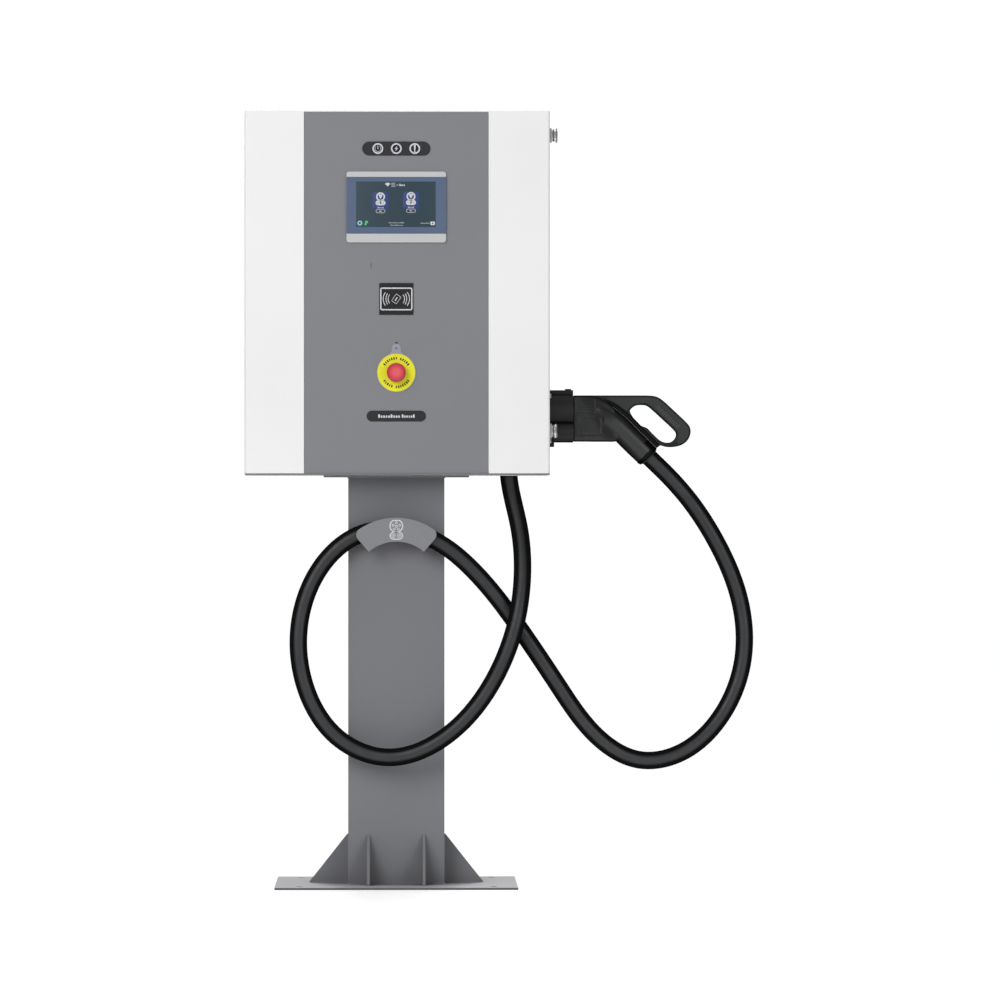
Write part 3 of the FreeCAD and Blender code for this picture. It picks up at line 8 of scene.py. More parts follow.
import bmesh
import bpy
import numpy as np
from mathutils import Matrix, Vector


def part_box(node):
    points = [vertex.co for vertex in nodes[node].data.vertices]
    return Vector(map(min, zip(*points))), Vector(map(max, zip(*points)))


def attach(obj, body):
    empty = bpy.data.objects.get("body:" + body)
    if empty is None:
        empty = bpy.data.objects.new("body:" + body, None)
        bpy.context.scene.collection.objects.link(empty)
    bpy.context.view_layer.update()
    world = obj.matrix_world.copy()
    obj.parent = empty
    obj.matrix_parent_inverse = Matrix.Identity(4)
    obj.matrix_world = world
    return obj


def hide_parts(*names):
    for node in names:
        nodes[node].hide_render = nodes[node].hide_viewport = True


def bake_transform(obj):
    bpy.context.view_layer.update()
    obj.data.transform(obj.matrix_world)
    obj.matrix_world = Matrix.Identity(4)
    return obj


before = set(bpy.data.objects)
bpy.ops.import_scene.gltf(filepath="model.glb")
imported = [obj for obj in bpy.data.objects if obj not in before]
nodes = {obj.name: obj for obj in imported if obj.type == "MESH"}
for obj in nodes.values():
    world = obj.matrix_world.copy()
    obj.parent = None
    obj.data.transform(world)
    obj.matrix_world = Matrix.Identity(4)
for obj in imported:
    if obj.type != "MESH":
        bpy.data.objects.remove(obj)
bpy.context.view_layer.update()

MM = 0.001


def corners_of(node):
    """A CAD node's low and high corners in millimetres."""
    return [[value / MM for value in end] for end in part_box(node)]


def corner(node, side, axis):
    """One coordinate of a CAD node's box in millimetres: side 0 is low and 1 is high, axis is 0 to 2."""
    return corners_of(node)[side][axis]


def middle(node):
    """The centre of a CAD node's box in metres."""
    low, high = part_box(node)
    return (Vector(low) + Vector(high)) / 2


def level_of(node):
    """The height of a CAD node's centre in millimetres."""
    return middle(node).z / MM


# ---- Materials ----


def linear(value):
    """A display value from 0 to 255 as scene-linear light."""
    share = value / 255
    return share / 12.92 if share <= 0.04045 else ((share + 0.055) / 1.055) ** 2.4


def shade(red, green, blue):
    """A display colour as a scene-linear one."""
    return (linear(red), linear(green), linear(blue), 1.0)


class Nodes:
    """A material's node tree, with short ways to add and link nodes."""

    def __init__(self, name):
        self.material = bpy.data.materials.new(name)
        self.material.use_nodes = True
        self.tree = self.material.node_tree
        self.surface = self.tree.nodes["Principled BSDF"]
        self.place = self.add("ShaderNodeTexCoord").outputs["Object"]

    def add(self, kind, **values):
        node = self.tree.nodes.new(kind)
        for name, value in values.items():
            setattr(node, name, value)
        return node

    def link(self, source, target):
        self.tree.links.new(source, target)

    def noise(self, scale, detail, stretch=(1, 1, 1)):
        """A noise pattern's value, with its features about 1 / scale metres across."""
        mapping = self.add("ShaderNodeMapping")
        mapping.inputs["Scale"].default_value = stretch
        texture = self.add("ShaderNodeTexNoise")
        texture.inputs["Scale"].default_value = scale
        texture.inputs["Detail"].default_value = detail
        self.link(self.place, mapping.inputs["Vector"])
        self.link(mapping.outputs["Vector"], texture.inputs["Vector"])
        return texture.outputs["Fac"]

    def ranged(self, value, low, high, start, end, kind="LINEAR"):
        """A value's low to high range mapped to start to end and held there."""
        node = self.add("ShaderNodeMapRange", interpolation_type=kind)
        for name, limit in (("From Min", low), ("From Max", high), ("To Min", start), ("To Max", end)):
            node.inputs[name].default_value = limit
        self.link(value, node.inputs["Value"])
        return node.outputs["Result"]

    def spread(self, value, low, high):
        """A noise's middle values mapped to a range."""
        return self.ranged(value, 0.3, 0.7, low, high)

    def between(self, value, low, high, start, end):
        """The same as ranged, with a soft start and end."""
        return self.ranged(value, low, high, start, end, "SMOOTHSTEP")

    def tint(self, colour, value, contrast):
        """A colour that the value makes a little lighter or darker."""
        mix = self.add("ShaderNodeMix", data_type="RGBA", blend_type="MIX")
        mix.inputs["A"].default_value = [c * (1 - contrast) for c in colour[:3]] + [1]
        mix.inputs["B"].default_value = [min(1, c * (1 + contrast)) for c in colour[:3]] + [1]
        self.link(self.spread(value, 0, 1), mix.inputs["Factor"])
        return mix.outputs["Result"]

    def bump(self, value, depth, strength=1.0):
        """Surface relief of a depth in metres."""
        bump = self.add("ShaderNodeBump")
        bump.inputs["Strength"].default_value = strength
        bump.inputs["Distance"].default_value = depth
        self.link(value, bump.inputs["Height"])
        self.link(bump.outputs["Normal"], self.surface.inputs["Normal"])

    def fade_to(self, colour, other, share):
        """A colour output that turns into a fixed colour as the share goes from 0 to 1."""
        mix = self.add("ShaderNodeMix", data_type="RGBA", blend_type="MIX")
        self.link(colour, mix.inputs["A"])
        mix.inputs["B"].default_value = other
        self.link(share, mix.inputs["Factor"])
        return mix.outputs["Result"]

    def along(self, direction):
        """The place on the object measured along a direction, in metres."""
        dot = self.add("ShaderNodeVectorMath", operation="DOT_PRODUCT")
        dot.inputs[1].default_value = direction
        self.link(self.place, dot.inputs[0])
        return dot.outputs["Value"]

    def both(self, one, other):
        """The product of two 0 to 1 values."""
        product = self.add("ShaderNodeMath", operation="MULTIPLY")
        self.link(one, product.inputs[0])
        self.link(other, product.inputs[1])
        return product.outputs["Value"]

    def turned_away(self):
        """0 where the surface faces the eye and 1 at its outline."""
        weight = self.add("ShaderNodeLayerWeight")
        weight.inputs["Blend"].default_value = 0.5
        return weight.outputs["Facing"]

    def painted_nook_shade(self, reach):
        """Painted shade from ambient occlusion: 0 in the open and 1 deep in a corner."""
        hidden = self.add("ShaderNodeAmbientOcclusion", samples=6)
        hidden.inputs["Distance"].default_value = reach
        return self.between(hidden.outputs["AO"], 0.35, 1.0, 1.0, 0.0)

    def set(self, **values):
        """The surface's own inputs, by their names with underscores for spaces."""
        for name, value in values.items():
            self.surface.inputs[name.replace("_", " ")].default_value = value


def finish(name, colour, rough, grain=None, metal=0.0, contrast=0.02, coat=0.0, stretch=(1, 1, 1)):
    """A surface with mottled colour, uneven roughness and, where grain is (scale, depth), fine relief."""
    made = Nodes(name)
    broad = made.noise(9, 3)
    fine = made.noise(160, 5, stretch)
    made.link(made.tint(colour, broad, contrast), made.surface.inputs["Base Color"])
    made.link(made.spread(fine, rough * 0.88, rough * 1.12), made.surface.inputs["Roughness"])
    made.set(Metallic=metal, Coat_Weight=coat, Coat_Roughness=0.08)
    if grain:
        scale, depth = grain
        made.bump(made.noise(scale, 3, stretch), depth)
    return made


def powder_coat(name, colour, nook_shade=None, side_face_shade=None):
    """Baked powder paint: an orange-peel skin over a speckle, with painted shade in corners and on the
    faces that do not face up.
    """
    made, rough = Nodes(name), 0.55
    peel = made.noise(520, 2)
    paint = made.tint(colour, made.noise(5, 4), 0.015)
    # Painted shade in corners, found by ambient occlusion.
    if nook_shade:
        reach, dark = nook_shade
        paint = made.fade_to(paint, dark, made.painted_nook_shade(reach))
    # Painted shade on the faces that do not face up, such as the plate's edges.
    if side_face_shade:
        facing = made.add("ShaderNodeSeparateXYZ")
        made.link(made.add("ShaderNodeNewGeometry").outputs["Normal"], facing.inputs["Vector"])
        paint = made.fade_to(paint, side_face_shade, made.between(facing.outputs["Z"], 0.5, 0.9, 1, 0))
    made.link(paint, made.surface.inputs["Base Color"])
    made.link(made.spread(made.noise(140, 5), rough * 0.9, rough * 1.1), made.surface.inputs["Roughness"])
    made.set(Specular_IOR_Level=0.35)
    made.bump(peel, 0.00006, 0.5)
    return made.material


def moulded(name, colour, rough, scale=1400, depth=0.00004):
    """Moulded plastic with a spark-eroded grain."""
    made = finish(name, colour, rough, grain=(scale, depth), contrast=0.05)
    made.set(Specular_IOR_Level=0.4)
    return made.material


def metal(name, colour, rough, stretch=(1, 1, 1), contrast=0.04):
    """Bare or plated metal with drawn or mottled texture."""
    made = finish(name, colour, rough, (900, 0.00001), 1.0, contrast, 0, stretch)
    return made.material


def gloss(name, colour, rough, coat):
    """A hard shiny surface under a clear skin."""
    made = finish(name, colour, rough, (300, 0.000004), contrast=0.03, coat=coat)
    return made.material


def lit(name, colour, strength):
    """A mark with a faint glow: the screen's own back-light on the screen, and painted light on printed
    marks.
    """
    made = finish(name, colour, 0.4, contrast=0.02)
    made.set(Emission_Color=colour, Emission_Strength=strength, Specular_IOR_Level=0.2)
    return made.material


def grip_painted_light(made, skin):
    """Painted light on the gun's slanted grip: painted shade makes it blacker than its head, and a paler
    band along the crown is a painted highlight.
    """
    to_grip, to_crown, up = (0.863, 0, 0.506), (0.7071, 0, 0.7071), (0, 0, 1)
    black, pale = shade(11, 11, 12), shade(54, 55, 56)
    past_head = made.between(made.along(to_grip), 0.776, 0.792, 0, 1)
    crown = made.along(to_crown)
    band = made.both(made.between(crown, 0.908, 0.926, 0, 1), made.between(crown, 0.932, 0.943, 1, 0))
    below_head = made.between(made.along(up), 0.890, 0.912, 1, 0)
    # Painted shade over the grip past the head.
    skin = made.fade_to(skin, black, past_head)
    # A painted highlight band along the crown, below the head.
    return made.fade_to(skin, pale, made.both(past_head, made.both(band, below_head)))


def holster_fold_shade(made, skin):
    """Painted shade: the holster is black in the fold between its two lobes."""
    height = made.along((0, 0, 1))
    fold = made.both(made.between(height, 0.886, 0.891, 0, 1), made.between(height, 0.896, 0.910, 1, 0))
    return made.fade_to(skin, shade(9, 9, 10), fold)


def dark_skin(name, colour, outline, rough, shine, sheen_and_shade_reach, grain, scuffs=(60, 0.05), painted_light=None):
    """Black plastic or rubber whose colour darkens to a dark outline as painted shade, and whose specular
    reflection dies away, as it turns from the eye.
    """
    made = Nodes(name)
    away = made.turned_away()
    scale, contrast = scuffs
    skin = made.tint(colour, made.noise(scale, 6), contrast)
    # The caller's painted shade and highlights.
    if painted_light:
        skin = painted_light(made, skin)
    # Painted shade: the colour fades to the outline colour as the surface turns from the eye.
    skin = made.fade_to(skin, outline, made.between(away, 0.0, sheen_and_shade_reach, 0, 1))
    made.link(skin, made.surface.inputs["Base Color"])
    made.link(made.spread(made.noise(70, 6), rough * 0.85, rough * 1.15), made.surface.inputs["Roughness"])
    made.link(made.between(away, 0.02, sheen_and_shade_reach, shine, 0.0), made.surface.inputs["Specular IOR Level"])
    made.bump(made.noise(grain[0], 3), grain[1], 0.6)
    return made.material


def button_red():
    """The stop button's red, palest at the middle of its face and darkened towards the edge by painted
    shade.
    """
    made = finish("red_button", shade(238, 98, 107), 0.32, (300, 0.000004), contrast=0.03, coat=0.25)
    out = made.add("ShaderNodeVectorMath", operation="SUBTRACT")
    out.inputs[1].default_value = middle("estop_head")
    made.link(made.place, out.inputs[0])
    flat = made.add("ShaderNodeVectorMath", operation="MULTIPLY")
    flat.inputs[1].default_value = (1, 0, 1)
    made.link(out.outputs["Vector"], flat.inputs[0])
    far = made.add("ShaderNodeVectorMath", operation="LENGTH")
    made.link(flat.outputs["Vector"], far.inputs[0])
    plain = made.surface.inputs["Base Color"].links[0].from_socket
    # Painted shade towards the edge of the face.
    rim_shade = made.between(far.outputs["Value"], 0.004, 0.0185, 0, 1)
    made.link(made.fade_to(plain, shade(198, 44, 66), rim_shade), made.surface.inputs["Base Color"])
    return made.material


def zinc_flakes(name):
    """Galvanised sheet, with its crystal spangle."""
    made = Nodes(name)
    cells = made.add("ShaderNodeTexVoronoi")
    cells.inputs["Scale"].default_value = 90
    made.link(made.place, cells.inputs["Vector"])
    flakes = made.tint(shade(196, 200, 202), cells.outputs["Color"], 0.08)
    made.link(flakes, made.surface.inputs["Base Color"])
    made.link(made.spread(cells.outputs["Distance"], 0.32, 0.48), made.surface.inputs["Roughness"])
    made.set(Metallic=1.0)
    return made.material


WHITE = powder_coat("white_powder_coat", shade(249, 249, 249))
PANEL = powder_coat("grey_panel_coat", shade(135, 136, 140))
# Painted shade: the pedestal darkens in corners, and the base darkens in corners and on its side faces.
PEDESTAL = powder_coat("pedestal_coat", shade(124, 125, 129), nook_shade=(0.04, shade(116, 116, 120)))
BASE = powder_coat(
    "base_coat", shade(180, 181, 183), nook_shade=(0.15, shade(92, 92, 94)), side_face_shade=shade(84, 84, 86)
)
HOOK = powder_coat("hook_coat", shade(136, 137, 140))
ZINC = metal("zinc_plate", shade(190, 193, 194), 0.36)
SPANGLE = zinc_flakes("galvanised_sheet")
CHROME = metal("polished_chrome", shade(226, 228, 230), 0.09, contrast=0.01)
SATIN = finish("satin_chrome", shade(178, 176, 177), 0.4, (700, 0.00001), 0.3, 0.01).material
# Painted shade rings on the chrome locks.
LOCK_SHADE = moulded("lock_painted_shade", shade(100, 98, 100), 0.5)
# Painted shade along the door's lower edge.
DOOR_EDGE_SHADE = moulded("door_edge_shade", shade(122, 122, 125), 0.6)
SILVER = finish("satin_silver", shade(209, 210, 210), 0.42, (700, 0.00001), 0.25, 0.01).material
GLASS = gloss("blue_cover_glass", shade(93, 110, 138), 0.18, 0.7)
SCREEN = lit("dark_screen", shade(56, 73, 84), 0.02)
PLATE = moulded("black_plate", shade(43, 44, 46), 0.4)
WINDOW = gloss("black_window", shade(30, 31, 34), 0.3, 0.2)
# The screen's print glows with its back-light; on the reader, label and lamp plate the same glow is
# painted light.
PRINT = lit("white_print", shade(214, 214, 217), 0.03)
DIM_PRINT = lit("grey_print", shade(174, 176, 180), 0.03)
BLACK = moulded("black_moulding", shade(38, 39, 40), 0.42)
CASE = moulded("module_case", shade(46, 47, 49), 0.5)
BREAKER = moulded("pale_moulding", shade(214, 214, 208), 0.42, 1200)
ALUMINIUM = metal("drawn_aluminium", shade(186, 188, 190), 0.34, (1, 1, 12))
BOARD = gloss("solder_mask", shade(24, 92, 52), 0.3, 0.3)
YELLOW = moulded("yellow_label", shade(243, 241, 48), 0.4, 900, 0.00002)
RED = button_red()
STOP_GREY = moulded("stop_plate_grey", shade(160, 159, 170), 0.45)
INK = moulded("black_ink", shade(38, 36, 20), 0.6)
FOAM = moulded("gasket_foam", shade(36, 36, 37), 0.95, 500, 0.0003)
RUBBER = moulded("grommet_rubber", shade(30, 30, 31), 0.65, 900, 0.00006)
LEAD = gloss("lead_insulation", shade(168, 44, 30), 0.35, 0.1)
SPARK_GRAIN, RUBBER_GRAIN, DRAWN_GRAIN = (1500, 0.00003), (1100, 0.00005), (260, 0.00002)
# These skins darken towards their outlines as painted shade.
JACKET = dark_skin(
    "cable_jacket", shade(55, 56, 58), shade(20, 20, 21), 0.42, 0.35, 0.22, DRAWN_GRAIN, (38, 0.1)
)
HOLSTER = dark_skin(
    "holster_moulding", shade(38, 38, 40), shade(25, 25, 26), 0.42, 0.3, 0.6, SPARK_GRAIN,
    painted_light=holster_fold_shade,
)
GUN = dark_skin(
    "gun_moulding", shade(42, 43, 44), shade(23, 23, 24), 0.38, 0.5, 0.5, SPARK_GRAIN, painted_light=grip_painted_light
)
# The handle's lit faces; its dark edges are painted shade.
HANDLE = dark_skin("handle_grip", shade(53, 56, 56), shade(29, 30, 30), 0.5, 0.3, 0.5, RUBBER_GRAIN)
SILVERED = metal("silvered_brass", shade(214, 206, 186), 0.25)
LENS = gloss("lamp_lens", shade(28, 28, 34), 0.15, 0.6)
CIRCUIT_BLUE = lit("connector_halo", shade(60, 75, 126), 0.05)
TEAL = lit("teal_mark", shade(146, 208, 214), 0.05)
GREEN = lit("green_mark", shade(90, 196, 120), 0.05)
# Printed marks on the lamp plate and the hook; their faint glow is painted light.
RING_WHITE = lit("lamp_ring", shade(212, 210, 218), 0.05)
HOOK_PRINT = lit("hook_print", shade(212, 214, 218), 0.03)
LUG_HOLE = moulded("lug_hole", shade(96, 84, 122), 0.6)
# Black for the grip's end ring, and painted shade for the strips beside the handle and the patches on the
# grip.
GUN_BLACK_AND_SHADE = dark_skin("grip_black_and_shade", shade(15, 15, 16), shade(9, 9, 9), 0.6, 0.15, 0.3, SPARK_GRAIN)
# Painted shade on the handle's rounded edges.
HANDLE_EDGE_SHADE = dark_skin("handle_edge_shade", shade(27, 28, 28), shade(20, 21, 21), 0.5, 0.3, 0.5, RUBBER_GRAIN)
# A painted highlight on the raised seam.
SEAM_HIGHLIGHT = moulded("mould_seam_highlight", shade(84, 86, 86), 0.45)
RIB = moulded("rib_rubber", shade(74, 78, 78), 0.6, 1100, 0.00004)
DUCT = moulded("wiring_duct", shade(150, 152, 154), 0.5)
WIRE_BLACK = moulded("wire_black", shade(34, 34, 36), 0.4)
WIRE_BLUE = moulded("wire_blue", shade(52, 84, 150), 0.4)
# Painted shade on the anchor holes' walls.
HOLE_SHADE = moulded("anchor_hole_shade", shade(38, 38, 40), 0.6)

CAD_LOOKS = (
    (BASE, "base_plate"),
    (PEDESTAL, "column side_gussets face_gussets top_flange hook_backplate hook_saddle"),
    (ZINC, "flange_bolts hook_screws hinge_brackets lock_keepers holster_screws door_hinge_brackets "
           "hinge_pins lock_nuts"),
    (HOOK, "hook_plate"),
    (WHITE, "cabinet_body door_shell"),
    (SPANGLE, "mounting_plate din_rail"),
    (FOAM, "door_gasket"),
    (CASE, "fan_frames dc_contactors cable_clamp upper_fan_rotor lower_fan_rotor breaker_lever "
           "display_module card_reader_module estop_collar estop_stem"),
    (ALUMINIUM, "power_module"),
    (BREAKER, "supply_breaker energy_meter estop_contact_block"),
    (BOARD, "control_board"),
    (JACKET, "supply_cable charging_cable"),
    (LEAD, "output_leads"),
    (RUBBER, "cable_grommet gun_boot"),
    (HOLSTER, "holster_socket"),
    (PANEL, "front_panel"),
    (SILVER, "display_bezel"),
    (GLASS, "display_glass"),
    (PLATE, "indicator_plate estop_label"),
    (LENS, "indicator_lenses"),
    (WINDOW, "card_reader_window"),
    (STOP_GREY, "estop_backplate"),
    (YELLOW, "estop_ring"),
    (SATIN, "lock_barrels"),
    (RED, "estop_head"),
    (CHROME, "upper_lock_plug lower_lock_plug"),
    (GUN, "gun_shell_front gun_shell_rear"),
    (HANDLE, "gun_handle"),
    (BLACK, "gun_nose"),
    (SILVERED, "gun_contacts"),
)
SOFT_EDGES = (
    (2.2, "column"),
    (1.6, "estop_head"),
    (1.2, "cabinet_body"),
    (1.0, "breaker_lever dc_contactors cable_clamp"),
    (0.8, "base_plate side_gussets face_gussets display_bezel holster_socket supply_breaker "
          "energy_meter fan_frames display_module card_reader_module estop_contact_block gun_nose "
          "gun_contacts gun_boot"),
    (0.7, "door_shell"),
    (0.6, "top_flange upper_lock_plug lower_lock_plug"),
    (0.5, "hook_plate hook_saddle lock_barrels power_module"),
    (0.4, "indicator_plate card_reader_window estop_backplate estop_ring"),
    (0.3, "front_panel display_glass estop_label"),
)


def soften(node, width):
    """A node's sharp edges get a small bend or break of a width in millimetres."""
    weld = node.modifiers.new("weld", "WELD")
    weld.merge_threshold = 0.00002
    dissolve = node.modifiers.new("dissolve", "DECIMATE")
    dissolve.decimate_type = "DISSOLVE"
    dissolve.angle_limit = math.radians(0.6)
    bevel = node.modifiers.new("edges", "BEVEL")
    bevel.width = width * MM
    bevel.segments = 3
    bevel.limit_method = "ANGLE"
    bevel.angle_limit = math.radians(40)
    bevel.use_clamp_overlap = True
    bevel.harden_normals = False


def dress_cad():
    """Every CAD node gets its material, and some get softer edges."""
    for look, names in CAD_LOOKS:
        for name in names.split():
            nodes[name].data.materials.clear()
            nodes[name].data.materials.append(look)
    for width, names in SOFT_EDGES:
        for name in names.split():
            soften(nodes[name], width)


dress_cad()


# ---- Flat marks and panels, drawn as loops of (x, z) in millimetres and given a thickness ----


def disc(u, v, radius, count=64):
    """A circle as a loop."""
    steps = [math.tau * i / count for i in range(count)]
    return [(u + radius * math.cos(a), v + radius * math.sin(a)) for a in steps]


def rounded(u, v, width, height, radius, count=10):
    """A rectangle with round corners as a loop."""
    radius = min(radius, width / 2 - 0.001, height / 2 - 0.001)
    reach_u, reach_v = width / 2 - radius, height / 2 - radius
    loop = []
    for quarter, (side_u, side_v) in enumerate(((1, 1), (-1, 1), (-1, -1), (1, -1))):
        for i in range(count + 1):
            a = (quarter + i / count) * math.pi / 2
            corner_u, corner_v = u + side_u * reach_u, v + side_v * reach_v
            loop.append((corner_u + radius * math.cos(a), corner_v + radius * math.sin(a)))
    return loop


def arc(u, v, radius, start, stop, width):
    """A bent bar: angles in degrees, anticlockwise from the right."""
    count = 28
    angles = [math.radians(start + (stop - start) * i / count) for i in range(count + 1)]
    far, near = radius + width / 2, radius - width / 2
    outside = [(u + far * math.cos(a), v + far * math.sin(a)) for a in angles]
    inside = [(u + near * math.cos(a), v + near * math.sin(a)) for a in reversed(angles)]
    return outside + inside


def turned(loop, u, v, degrees):
    """A loop turned about a point."""
    c, s = math.cos(math.radians(degrees)), math.sin(math.radians(degrees))
    return [(u + (x - u) * c - (z - v) * s, v + (x - u) * s + (z - v) * c) for x, z in loop]


def shifted(loop, u, v):
    """A loop moved."""
    return [(x + u, z + v) for x, z in loop]


def hoop(u, v, radius, width):
    """A ring: a circle with a circular hole."""
    return [disc(u, v, radius), disc(u, v, radius - width)]


def frame_of(u, v, width, height, radius, stroke):
    """A rounded rectangle with a rounded hole."""
    inside = rounded(u, v, width - 2 * stroke, height - 2 * stroke, max(radius - stroke, 0.2))
    return [rounded(u, v, width, height, radius), inside]


GREEK = (0.9, 0.62, 0.8, 0.5, 0.72, 0.95, 0.58, 0.84, 0.66, 0.76, 0.54, 0.88)


def greeked(u, v, width, height, count):
    """A word stood for by plain blocks on a base line, with nothing to read."""
    pitch = width / count
    shapes = []
    for i in range(count):
        share = GREEK[i % len(GREEK)]
        tall = height * (1.0 if i == 0 or share > 0.87 else 0.7)
        at = u - width / 2 + pitch * (i + 0.5)
        middle_v = v - height / 2 + tall / 2
        shapes.append([rounded(at, middle_v, pitch * (0.4 + 0.4 * share), tall, height * 0.18, 4)])
    return shapes


def solid_from(shapes, thick, bevel, resolution=2):
    """A mesh in the XZ plane from shapes, each a loop with its holes; its front faces -Y at y = 0."""
    whole = bmesh.new()
    for loops in shapes:
        curve = bpy.data.curves.new("outline", "CURVE")
        curve.dimensions = "2D"
        curve.fill_mode = "BOTH"
        curve.extrude = (thick / 2 - bevel) * MM
        curve.bevel_depth = bevel * MM
        curve.bevel_resolution = resolution
        curve.offset = -bevel * MM
        for loop in loops:
            spline = curve.splines.new("POLY")
            spline.points.add(len(loop) - 1)
            for point, (x, z) in zip(spline.points, loop):
                point.co = (x * MM, z * MM, 0, 1)
            spline.use_cyclic_u = True
        outline = bpy.data.objects.new("outline", curve)
        mesh = bpy.data.meshes.new_from_object(outline)
        whole.from_mesh(mesh)
        bpy.data.objects.remove(outline)
        bpy.data.meshes.remove(mesh)
        bpy.data.curves.remove(curve)
    for vertex in whole.verts:
        x, z, out = vertex.co
        vertex.co = (x, thick / 2 * MM - out, z)
    bmesh.ops.remove_doubles(whole, verts=whole.verts, dist=1e-6)
    return whole


def add_piece(name, shape, material, body, smooth):
    """A bmesh made into a named piece that rides on a body; smooth is the sharpest smoothed angle."""
    mesh = bpy.data.meshes.new(name)
    bmesh.ops.recalc_face_normals(shape, faces=shape.faces)
    shape.to_mesh(mesh)
    shape.free()
    piece = bpy.data.objects.new(name, mesh)
    bpy.context.scene.collection.objects.link(piece)
    mesh.materials.append(material)
    mesh.shade_smooth()
    mesh.set_sharp_from_angle(angle=math.radians(smooth))
    if body:
        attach(piece, body)
    return piece


def moved(shape, x=0.0, y=0.0, z=0.0):
    """A bmesh moved by millimetres."""
    bmesh.ops.translate(shape, verts=shape.verts, vec=(x * MM, y * MM, z * MM))
    return shape


def mark(name, shapes, level, material, body="door", rise=0.12, bevel=0.04):
    """A printed or inlaid mark that stands a little proud of a face at a y level in millimetres."""
    shape = solid_from(shapes, rise * 2, bevel, 1)
    add_piece(name, moved(shape, y=level - rise), material, body, 50)


def front(node):
    """The y in millimetres of a CAD node's front."""
    return corner(node, 0, 1)


def lathe(profile, count):
    """A bmesh turned about +Z from (radius, height) pairs in millimetres."""
    shape = bmesh.new()
    rings = []
    for radius, height in profile:
        if radius < 1e-6:
            rings.append([shape.verts.new((0, 0, height * MM))])
            continue
        wide, angles = radius * MM, [math.tau * i / count for i in range(count)]
        ring = [(wide * math.cos(a), wide * math.sin(a), height * MM) for a in angles]
        rings.append([shape.verts.new(point) for point in ring])
    for one, other in zip(rings, rings[1:]):
        for i in range(count):
            j = (i + 1) % count
            corners = [one[i % len(one)], one[j % len(one)], other[j % len(other)], other[i % len(other)]]
            unique = list(dict.fromkeys(corners))
            if len(unique) > 2:
                shape.faces.new(unique)
    return shape


def ring_about(shape, centre, side, other, radius, count):
    """A ring of vertices about a centre in millimetres, in the plane of two directions."""
    ring = []
    for i in range(count):
        a = math.tau * i / count
        point = centre + (side * math.cos(a) + other * math.sin(a)) * radius
        ring.append(shape.verts.new(point * MM))
    return ring


def skin_over(shape, rings):
    """Faces between rings that follow one another, and over both ends."""
    for one, other in zip(rings, rings[1:]):
        for i in range(len(one)):
            j = (i + 1) % len(one)
            shape.faces.new((one[i], one[j], other[j], other[i]))
    shape.faces.new(rings[0])
    shape.faces.new(rings[-1])


def stand(shape, place, direction):
    """A bmesh turned so that its +Z runs along a direction, and moved to a place in millimetres."""
    turn = Vector(direction).to_track_quat("Z", "Y").to_matrix().to_4x4()
    bmesh.ops.transform(shape, matrix=turn, verts=shape.verts)
    return moved(shape, *place)


def dome_screw(name, x, level, z, radius, material):
    """A small domed screw head with a round recess, facing the front."""
    rise = radius * 0.45
    profile = [(radius, -0.2), (radius, rise * 0.35), (radius * 0.8, rise * 0.8)]
    profile += [(radius * 0.45, rise), (radius * 0.3, rise * 0.98), (radius * 0.2, rise * 0.45)]
    profile += [(0, rise * 0.4)]
    shape = stand(lathe(profile, 24), (x, level, z), (0, -1, 0))
    add_piece(name, shape, material, "door", 60)


# ---- Marks on the door's front ----

LAMP_PITCH = 35.4


def make_indicator_marks():
    """Three white rings: a plug, a lightning bolt and a fault bar."""
    level, z, pitch = front("indicator_lenses"), level_of("indicator_plate"), LAMP_PITCH
    rings = [hoop(pitch * i, z, 10.3, 2.8) for i in (-1, 0, 1)]
    plug = [[arc(-pitch, z - 0.4, 5.6, 128, 412, 1.3)], [rounded(-pitch, z + 2.2, 1.8, 7.6, 0.8)]]
    bolt = [(1.6, 5.2), (-3.2, -0.9), (-0.5, -0.9), (-1.7, -5.3), (3.2, 0.9), (0.6, 0.9)]
    bar = [(-1.7, 7.9), (1.7, 7.9), (1.3, -4.2), (-1.3, -4.2)]
    fault = [[shifted(bar, pitch, z)], [disc(pitch, z - 6.0, 1.3, 24)]]
    mark("indicator_rings", rings, level, RING_WHITE)
    mark("indicator_plug", plug, level, DIM_PRINT)
    mark("indicator_bolt", [[shifted(bolt, 0, z)]], level, RING_WHITE)
    mark("indicator_fault", fault, level, RING_WHITE)


